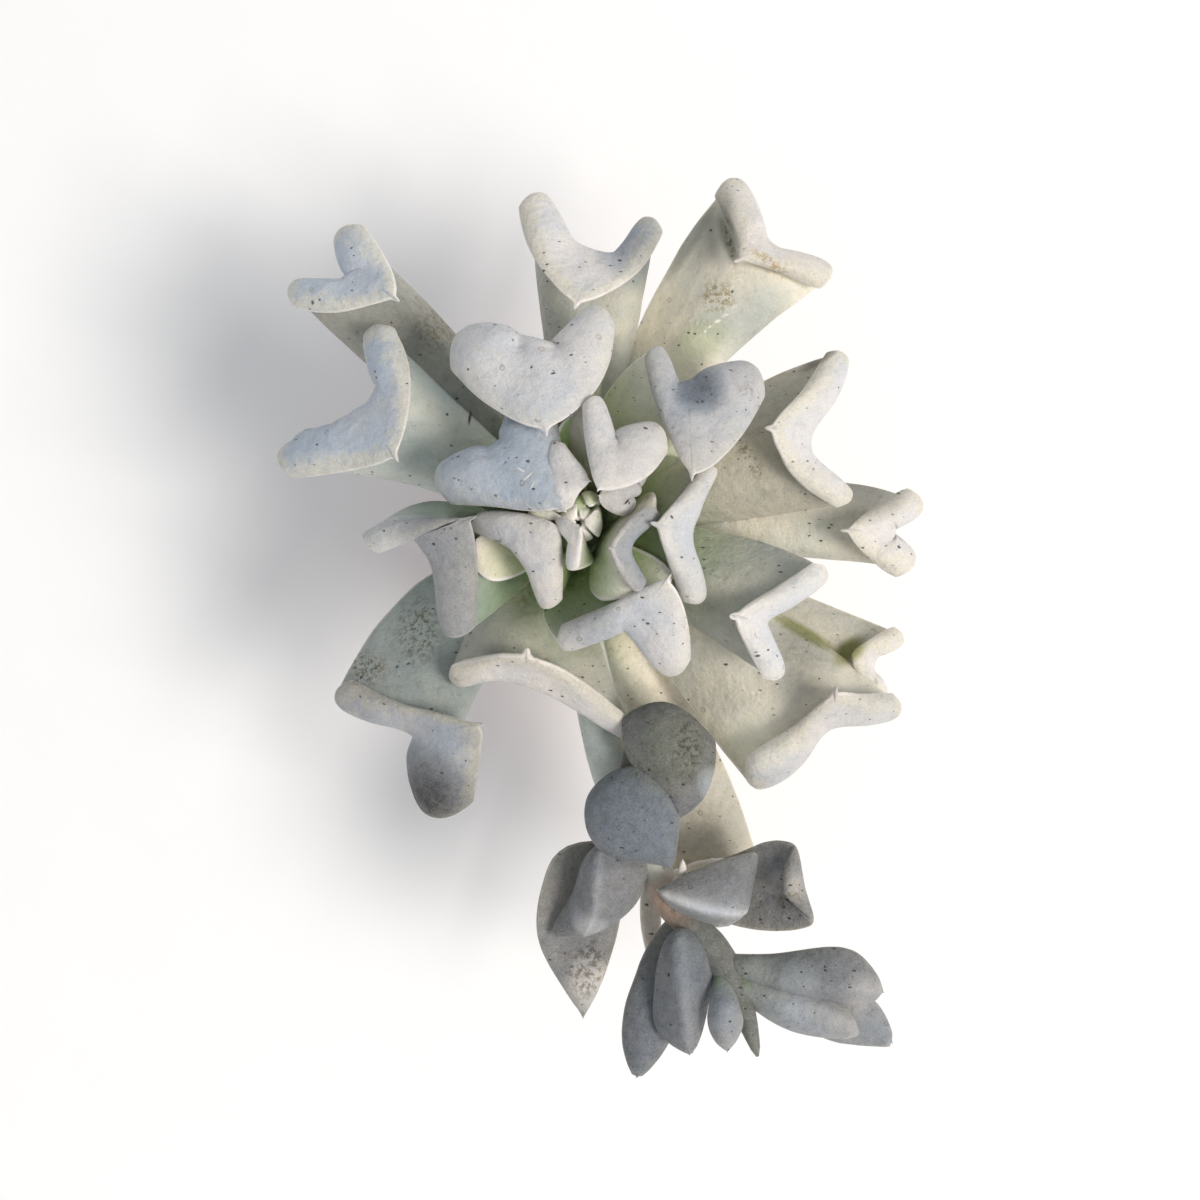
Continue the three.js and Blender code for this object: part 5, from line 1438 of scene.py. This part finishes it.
def make_pot():
    pot = placed("pot_blank", turned("pot", pot_section(), POT_SIDES, POT_WAVER, POT_GROOVE))
    drills = []
    for number in range(DRAINS):
        bearing = number / DRAINS * 2 * math.pi + math.pi / 2
        below, above = -4, POT_FLOOR + 4
        section = [(0, below), (DRAIN_RADIUS, below), (DRAIN_RADIUS, above), (0, above)]
        mesh = turned("drill", section, DRILL_SIDES)
        place = Vector((math.cos(bearing), math.sin(bearing), 0)) * DRAIN_CIRCLE * MM
        for vertex in mesh.vertices:
            vertex.co += place
        drill = placed("drill", mesh)
        cut = pot.modifiers.new("drain", "BOOLEAN")
        cut.operation = "DIFFERENCE"
        cut.object = drill
        cut.solver = "EXACT"
        drills.append(drill)
    mesh = plain_copy(pot)
    for thing in drills + [pot]:
        bpy.data.objects.remove(thing)
    return mesh


# %% [markdown]
# ## Fired clay
# Fired clay is orange-brown, with dark flecks and a paler dust in patches. Water
# creeping through it leaves a white bloom of lime in drifts, strongest on the band
# and near the foot.

# %% The finish for the pot
CLAY_DARK, CLAY_PALE = shade(168, 92, 62), shade(196, 120, 84)
CLAY_DUST, CLAY_FLECK = shade(222, 168, 134), shade(112, 62, 44)
LIME_BLOOM, CLAY_DAMP = shade(226, 212, 198), shade(118, 66, 46)


def clay_finish():
    finish = Finish("fired_clay", 0.85)
    body = finish.cloud(26, 5, 0.6)
    fine = finish.cloud(420, 4, 0.7)
    color = finish.blend(finish.ramp(body, 0.3, 0.7), CLAY_DARK, CLAY_PALE)
    color = finish.blend(finish.math("MULTIPLY", finish.ramp(fine, 0.55, 0.75), 0.35),
                         color, CLAY_DUST)
    flecks = finish.dots(700, 0.1, 0.16)
    color = finish.blend(finish.math("MULTIPLY", flecks, 0.6), color, CLAY_FLECK)
    split = finish.add("ShaderNodeSeparateXYZ", inputs={"Vector": finish.place})
    height = split.outputs[2]
    drift = finish.cloud(34, 7, 0.7, distortion=0.4)
    low = finish.ramp(height, 0.0, 0.022, 0.16, 0.0)
    high = finish.ramp(height, 0.055, 0.066, 0.0, 0.1)
    bloom = finish.ramp(finish.math("ADD", drift, finish.math("ADD", low, high)), 0.56, 0.74)
    color = finish.blend(finish.math("MULTIPLY", bloom, 0.55), color, LIME_BLOOM)
    damp = finish.ramp(finish.math("ADD", height, finish.math("MULTIPLY", body, 0.02)),
                       0.012, 0.024, 0.35, 0.0)
    color = finish.blend(damp, color, CLAY_DAMP)
    skin = finish.bump(fine, 0.00025)
    skin = finish.bump(finish.cloud(1500, 2), 0.00012, skin)
    pits = finish.math("SUBTRACT", 1.0, flecks)
    return finish.paint(color, finish.bump(pits, 0.0003, skin),
                        finish.ramp(body, 0.3, 0.7, 0.78, 0.95))


finish_piece("clay_pot", make_pot(), clay_finish(), "clay", "pot")
print("pot turned with", POT_SIDES, "sides")

# %% [markdown]
# ## The soil
# Potting soil for a dry-land plant is a dark crumb with a lot of pale grit. The crumb
# is a turned body with an uneven top. The grit repeats, so a small tree of Geometry
# Nodes scatters stones of three shapes over the top and turns each its own way.

# %% The soil's crumb
SOIL_LEVEL, SOIL_CROWN, SOIL_SIDES = 68, 2, 150
STEM_NECK, STEM_DEPTH, GAP = 6, 24, 0.3


def inside_radius(height):
    inner_foot, inner_rim = POT_FOOT - POT_WALL, POT_RIM - POT_WALL + 0.2
    share = (height - POT_FLOOR - 2) / (POT_HEIGHT - 3 - POT_FLOOR - 2)
    return inner_foot + (inner_rim - inner_foot) * share


def soil_mesh():
    hole, deep = STEM_NECK + GAP, SOIL_LEVEL + SOIL_CROWN - STEM_DEPTH - GAP
    rim = inside_radius(SOIL_LEVEL) - GAP
    mesh = turned("soil", section_line([
        (0, POT_FLOOR + GAP), (inside_radius(POT_FLOOR) - 3.5, POT_FLOOR + GAP),
        (inside_radius(POT_FLOOR + 3) - 1, POT_FLOOR + 3), (rim - 0.2, SOIL_LEVEL - 1),
        (rim - 0.6, SOIL_LEVEL), (25, SOIL_LEVEL + 0.6 * SOIL_CROWN),
        (hole + 3, SOIL_LEVEL + SOIL_CROWN), (hole + 0.1, SOIL_LEVEL + SOIL_CROWN - 0.2),
        (hole, SOIL_LEVEL), (hole, deep), (0, deep)], 0.8), SOIL_SIDES)
    for vertex in mesh.vertices:
        place = vertex.co / MM
        if place.z > SOIL_LEVEL - 2:
            rise = noise.fractal(place / 5, 1.0, 2.0, 4) * 0.9
            vertex.co.z += max(-0.9, rise) * MM
    return mesh


# %% One stone of the grit
def stone_mesh(name, seed, stretch):
    bm = bmesh.new()
    bmesh.ops.create_icosphere(bm, subdivisions=2, radius=1.0)
    for vertex in bm.verts:
        bump = 1 + 0.35 * noise.noise(vertex.co * 1.1 + Vector((seed, 0, 0)))
        flat_side = min(1.0, 0.8 / max(0.2, abs(vertex.co.dot(Vector((0.5, 0.3, 0.8))))))
        vertex.co = Vector(np.array(vertex.co * bump * flat_side) * stretch)
    mesh = bpy.data.meshes.new(name)
    bm.to_mesh(mesh)
    bm.free()
    return mesh


# %% Trees of Geometry Nodes
class Tree(Graph):
    """A tree that takes a body and named numbers, and ends in real, painted faces."""

    def __init__(self, name, body, **numbers):
        self.group = bpy.data.node_groups.new(name, "GeometryNodeTree")
        self.socket(body, "NodeSocketGeometry")
        for label, value in numbers.items():
            kind = "NodeSocketInt" if isinstance(value, int) else "NodeSocketFloat"
            self.socket(label.replace("_", " "), kind).default_value = value
        self.socket("Geometry", "NodeSocketGeometry", "OUTPUT")
        super().__init__(self.group)
        self.given = self.add("NodeGroupInput").outputs

    def socket(self, label, kind, way="INPUT"):
        return self.group.interface.new_socket(label, in_out=way, socket_type=kind)

    def parts(self, vector):
        return self.add("ShaderNodeSeparateXYZ", inputs={0: vector}).outputs

    def shape(self, thing, whole=False):
        info = self.add("GeometryNodeObjectInfo", inputs={"Object": thing,
                                                          "As Instance": whole})
        return info.outputs["Geometry"]

    def joined(self, *bodies):
        node = self.add("GeometryNodeJoinGeometry")
        for body in bodies:
            self.put(node.inputs[0], body)
        return node.outputs[0]

    def finished(self, instances, material):
        real = self.add("GeometryNodeRealizeInstances", inputs={0: instances}).outputs[0]
        paint = self.add("GeometryNodeSetMaterial", inputs={"Geometry": real,
                                                            "Material": material})
        self.put(self.add("NodeGroupOutput").inputs["Geometry"], paint.outputs[0])
        return self.group


def set_inputs(modifier, **values):
    """Set a tree's inputs through the identifiers that its sockets carry."""
    sockets = {item.name: item.identifier for item in modifier.node_group.interface.items_tree
               if item.in_out == "INPUT"}
    for name, value in values.items():
        modifier[sockets[name.replace("_", " ")]] = value


# %% The grit, scattered by Geometry Nodes
def scatter_tree(stones, material):
    tree = Tree("scatter_grit", "Crumb", Stones_per_square_metre=0.0, Smallest=0.0,
                Largest=0.0, Seed=0)
    rise = tree.parts(tree.add("GeometryNodeInputNormal").outputs[0])[2]
    height = tree.parts(tree.add("GeometryNodeInputPosition").outputs[0])[2]
    upward = tree.add("FunctionNodeCompare", inputs={0: rise, 1: 0.6}).outputs[0]
    high = tree.add("FunctionNodeCompare", inputs={
        0: height, 1: (SOIL_LEVEL - 1.5) * MM}).outputs[0]
    chosen = tree.add("FunctionNodeBooleanMath", inputs={0: upward, 1: high}).outputs[0]
    scatter = tree.add("GeometryNodeDistributePointsOnFaces", inputs={
        "Mesh": tree.given["Crumb"], "Selection": chosen, "Seed": tree.given["Seed"],
        "Density": tree.given["Stones per square metre"]})
    turn = tree.add("FunctionNodeRandomValue", {"data_type": "FLOAT_VECTOR"},
                    {1: (2 * math.pi,) * 3}).outputs[0]
    size = tree.add("FunctionNodeRandomValue", inputs={
        2: tree.given["Smallest"], 3: tree.given["Largest"]}).outputs[1]
    shapes = tree.joined(*[tree.shape(stone, True) for stone in stones])
    instances = tree.add("GeometryNodeInstanceOnPoints", inputs={
        "Points": scatter.outputs["Points"], "Instance": shapes, "Pick Instance": True,
        "Rotation": turn, "Scale": size})
    return tree.finished(instances.outputs[0], material)


# %% Finishes for soil and grit
CRUMB_DARK, CRUMB_PALE, STRAW = shade(46, 36, 28), shade(92, 74, 58), shade(150, 128, 98)
GRIT_TAN, GRIT_PALE = shade(176, 162, 142), shade(212, 206, 196)
GRIT_BROWN, GRIT_GRAIN = shade(112, 96, 82), shade(120, 108, 92)


def soil_finish():
    finish = Finish("damp_crumb", 0.95)
    clods = finish.cloud(240, 6, 0.7)
    color = finish.blend(finish.ramp(clods, 0.35, 0.65), CRUMB_DARK, CRUMB_PALE)
    straw = finish.dots(500, 0.12, 0.2)
    color = finish.blend(finish.math("MULTIPLY", straw, 0.7), color, STRAW)
    return finish.paint(color, finish.bump(clods, 0.0012))


def grit_finish():
    finish = Finish("pale_grit", 0.8)
    _, each = finish.cells(230.0)
    color = finish.blend(each[0], GRIT_TAN, GRIT_PALE)
    color = finish.blend(finish.ramp(each[1], 0.7, 0.8), color, GRIT_BROWN)
    grain = finish.cloud(2200, 3, 0.7)
    color = finish.blend(finish.math("MULTIPLY", grain, 0.3), color, GRIT_GRAIN)
    return finish.paint(color, finish.bump(grain, 0.0003))


# %% Make the soil and scatter its grit
STONE_STRETCHES = [(1, 0.8, 0.6), (0.8, 0.9, 0.75), (1.2, 0.7, 0.55)]
GRIT_DENSITY, GRIT_SMALLEST, GRIT_LARGEST, GRIT_SEED = 260000.0, 0.0004, 0.0014, 12


def make_soil():
    crumb = finish_piece("soil_crumb", soil_mesh(), soil_finish(), "earth", "soil")
    stones = [placed("stone", stone_mesh("stone", number * 5.0, stretch))
              for number, stretch in enumerate(STONE_STRETCHES)]
    carrier = placed("grit_carrier", crumb.data.copy())
    material = grit_finish()
    grow = carrier.modifiers.new("grit", "NODES")
    grow.node_group = scatter_tree(stones, material)
    set_inputs(grow, Stones_per_square_metre=GRIT_DENSITY, Smallest=GRIT_SMALLEST,
               Largest=GRIT_LARGEST, Seed=GRIT_SEED)
    mesh = plain_copy(carrier)
    for thing in stones + [carrier]:
        bpy.data.objects.remove(thing)
    finish_piece("grit", mesh, material, "earth")
    print("soil faces", len(crumb.data.polygons), "grit faces", len(mesh.polygons))


make_soil()

# %% [markdown]
# ## The old stem
# The stem is grey-brown and corky. Each dropped leaf has left a crescent scar, and the
# scars climb the stem in the same golden-angle spiral as the leaves above them. They
# repeat by a rule, so Geometry Nodes set one crescent on each point of the spiral.

# %% The stem's body
STEM_TOP, BARK_TOP, STEM_SIDES = 126, 92, 64
SCARS, SCAR_DEPTH = 46, 0.55


def stem_radius(height):
    surface = SOIL_LEVEL + SOIL_CROWN
    share = np.clip((height - surface) / (BARK_TOP - surface), 0, 1)
    return STEM_NECK + (STEM_RADIUS - STEM_NECK) * share - 0.35


def stem_mesh():
    foot = SOIL_LEVEL + SOIL_CROWN - STEM_DEPTH
    heights = np.linspace(foot + 2, STEM_TOP - 4, 120)
    section = ([(0, foot), (STEM_NECK - 1.2, foot), (STEM_NECK - 0.5, foot + 1)]
               + [(float(stem_radius(h)), float(h)) for h in heights]
               + [(STEM_RADIUS - 2, STEM_TOP - 1), (STEM_RADIUS - 4, STEM_TOP - 0.2),
                  (0, STEM_TOP)])
    mesh = turned("stem", section, STEM_SIDES)
    for vertex in mesh.vertices:
        place = vertex.co / MM
        if place.z > SOIL_LEVEL:
            wrinkle = noise.fractal(Vector((place.x / 3, place.y / 3, place.z / 1.6)), 1, 2, 3)
            vertex.co.xy *= 1 + 0.035 * wrinkle
    return mesh


# %% The scars, set by Geometry Nodes
def scar_mesh():
    """A crescent ridge on a stem seen from outside: width along Y, height along Z."""
    line = [(0.0, -3.1, 0.9), (0.15, -2.2, -0.3), (0.25, 0, -0.9), (0.15, 2.2, -0.3),
            (0.0, 3.1, 0.9)]
    points, faces, _ = tube(line, [0.1, 0.45, 0.6, 0.45, 0.1], 14, 8)
    mesh = bpy.data.meshes.new("scar")
    mesh.from_pydata((points * MM).tolist(), [], outward(points, faces))
    return mesh


def scar_tree(scar, material):
    tree = Tree("spiral_of_scars", "Stem", Count=1, Turn=0.0, Foot=0.0, Rise=0.0,
                Radius_at_foot=0.0, Radius_at_top=0.0)
    given, math_node = tree.given, tree.math
    number = tree.add("GeometryNodeInputIndex").outputs[0]
    turn = math_node("MULTIPLY", number, given["Turn"])
    share = math_node("DIVIDE", number, given["Count"])
    height = math_node("ADD", given["Foot"], math_node("MULTIPLY", share, given["Rise"]))
    widening = math_node("SUBTRACT", given["Radius at top"], given["Radius at foot"])
    radius = math_node("ADD", given["Radius at foot"],
                       math_node("MULTIPLY", share, widening))
    place = tree.add("ShaderNodeCombineXYZ", inputs={
        0: math_node("MULTIPLY", radius, math_node("COSINE", turn)),
        1: math_node("MULTIPLY", radius, math_node("SINE", turn)), 2: height})
    bearing = tree.add("ShaderNodeCombineXYZ", inputs={2: turn})
    spots = tree.add("GeometryNodeMeshLine", inputs={"Count": given["Count"]})
    moved = tree.add("GeometryNodeSetPosition", inputs={
        "Geometry": spots.outputs[0], "Position": place.outputs[0]})
    instances = tree.add("GeometryNodeInstanceOnPoints", inputs={
        "Points": moved.outputs[0], "Instance": tree.shape(scar),
        "Rotation": bearing.outputs[0]})
    return tree.finished(tree.joined(instances.outputs[0], given["Stem"]), material)


# %% The finish for the bark, and the stem itself
BARK_DARK, BARK_PALE, BARK_GREEN = shade(104, 86, 66), shade(176, 158, 132), shade(168, 182, 146)


def bark_finish():
    finish = Finish("corky_bark", 0.9)
    split = finish.add("ShaderNodeMapping", inputs={"Vector": finish.place,
                                                    "Scale": (1.0, 1.0, 3.0)})
    rings = finish.cloud(180, 5, 0.65, split.outputs[0])
    color = finish.blend(finish.ramp(rings, 0.3, 0.7), BARK_DARK, BARK_PALE)
    height = finish.add("ShaderNodeSeparateXYZ", inputs={"Vector": finish.place}).outputs[2]
    color = finish.blend(finish.ramp(height, 0.088, 0.1), color, BARK_GREEN)
    return finish.paint(color, finish.bump(rings, 0.0006))


def make_stem():
    scar, blank = placed("scar", scar_mesh()), placed("stem_blank", stem_mesh())
    material = bark_finish()
    grow = blank.modifiers.new("scars", "NODES")
    grow.node_group = scar_tree(scar, material)
    surface = SOIL_LEVEL + SOIL_CROWN
    set_inputs(grow, Count=SCARS, Turn=GOLDEN_ANGLE, Foot=(surface + 1.5) * MM,
               Rise=(BARK_TOP - surface - 2) * MM,
               Radius_at_foot=(STEM_NECK - SCAR_DEPTH) * MM,
               Radius_at_top=(STEM_RADIUS - SCAR_DEPTH) * MM)
    mesh = plain_copy(blank)
    for thing in (scar, blank):
        bpy.data.objects.remove(thing)
    finish_piece("old_stem", mesh, material, "bark", "stem")
    print("stem faces", len(mesh.polygons))


make_stem()

# %% [markdown]
# ## The room: a pale floor and soft light
# The photograph is lit by a warm light from the right, high up and a little toward
# its lower edge, with a cool open sky all round. A lamp more than a metre wide gives
# shadows with soft edges, and the pale floor throws light back up under the leaves.

# %% Floor
FLOOR_REACH = 3.0


def make_floor():
    finish = Finish("pale_floor", 0.9)
    paper = finish.cloud(30, 4)
    mesh = bpy.data.meshes.new("floor")
    corners = [(east * FLOOR_REACH, north * FLOOR_REACH, 0)
               for east, north in ((-1, -1), (1, -1), (1, 1), (-1, 1))]
    mesh.from_pydata(corners, [], [(0, 1, 2, 3)])
    mesh.materials.append(finish.paint(
        finish.blend(paper, shade(250, 250, 250), shade(253, 253, 253))))
    placed("floor", mesh)


make_floor()

# %% Lights
LOOK_AT = Vector((0.0, -0.02, 0.11))


def make_lamp(name, bearing, height, distance, size, power, color):
    """A square lamp that faces the plant from a bearing and a height in degrees."""
    data = bpy.data.lights.new(name, "AREA")
    data.size = size
    data.energy = power
    data.color = color
    lamp = bpy.data.objects.new(name, data)
    turn, rise = math.radians(bearing), math.radians(height)
    out = Vector((math.cos(turn) * math.cos(rise), math.sin(turn) * math.cos(rise),
                  math.sin(rise)))
    lamp.location = LOOK_AT + out * distance
    lamp.rotation_euler = (-out).to_track_quat("-Z", "Y").to_euler()
    bpy.context.collection.objects.link(lamp)


def make_sky(color, strength):
    world = bpy.data.worlds.new("sky")
    world.use_nodes = True
    background = world.node_tree.nodes["Background"]
    background.inputs["Color"].default_value = color
    background.inputs["Strength"].default_value = strength
    bpy.context.scene.world = world


make_lamp("warm_key", bearing=-20, height=52, distance=3.2, size=1.2, power=80.0,
          color=(1.0, 0.95, 0.89))
make_sky(color=(0.93, 0.96, 1.0, 1.0), strength=0.55)
bpy.context.scene.view_settings.view_transform = "Standard"

# %% [markdown]
# ## The end

# %% Finish
print("scene built")
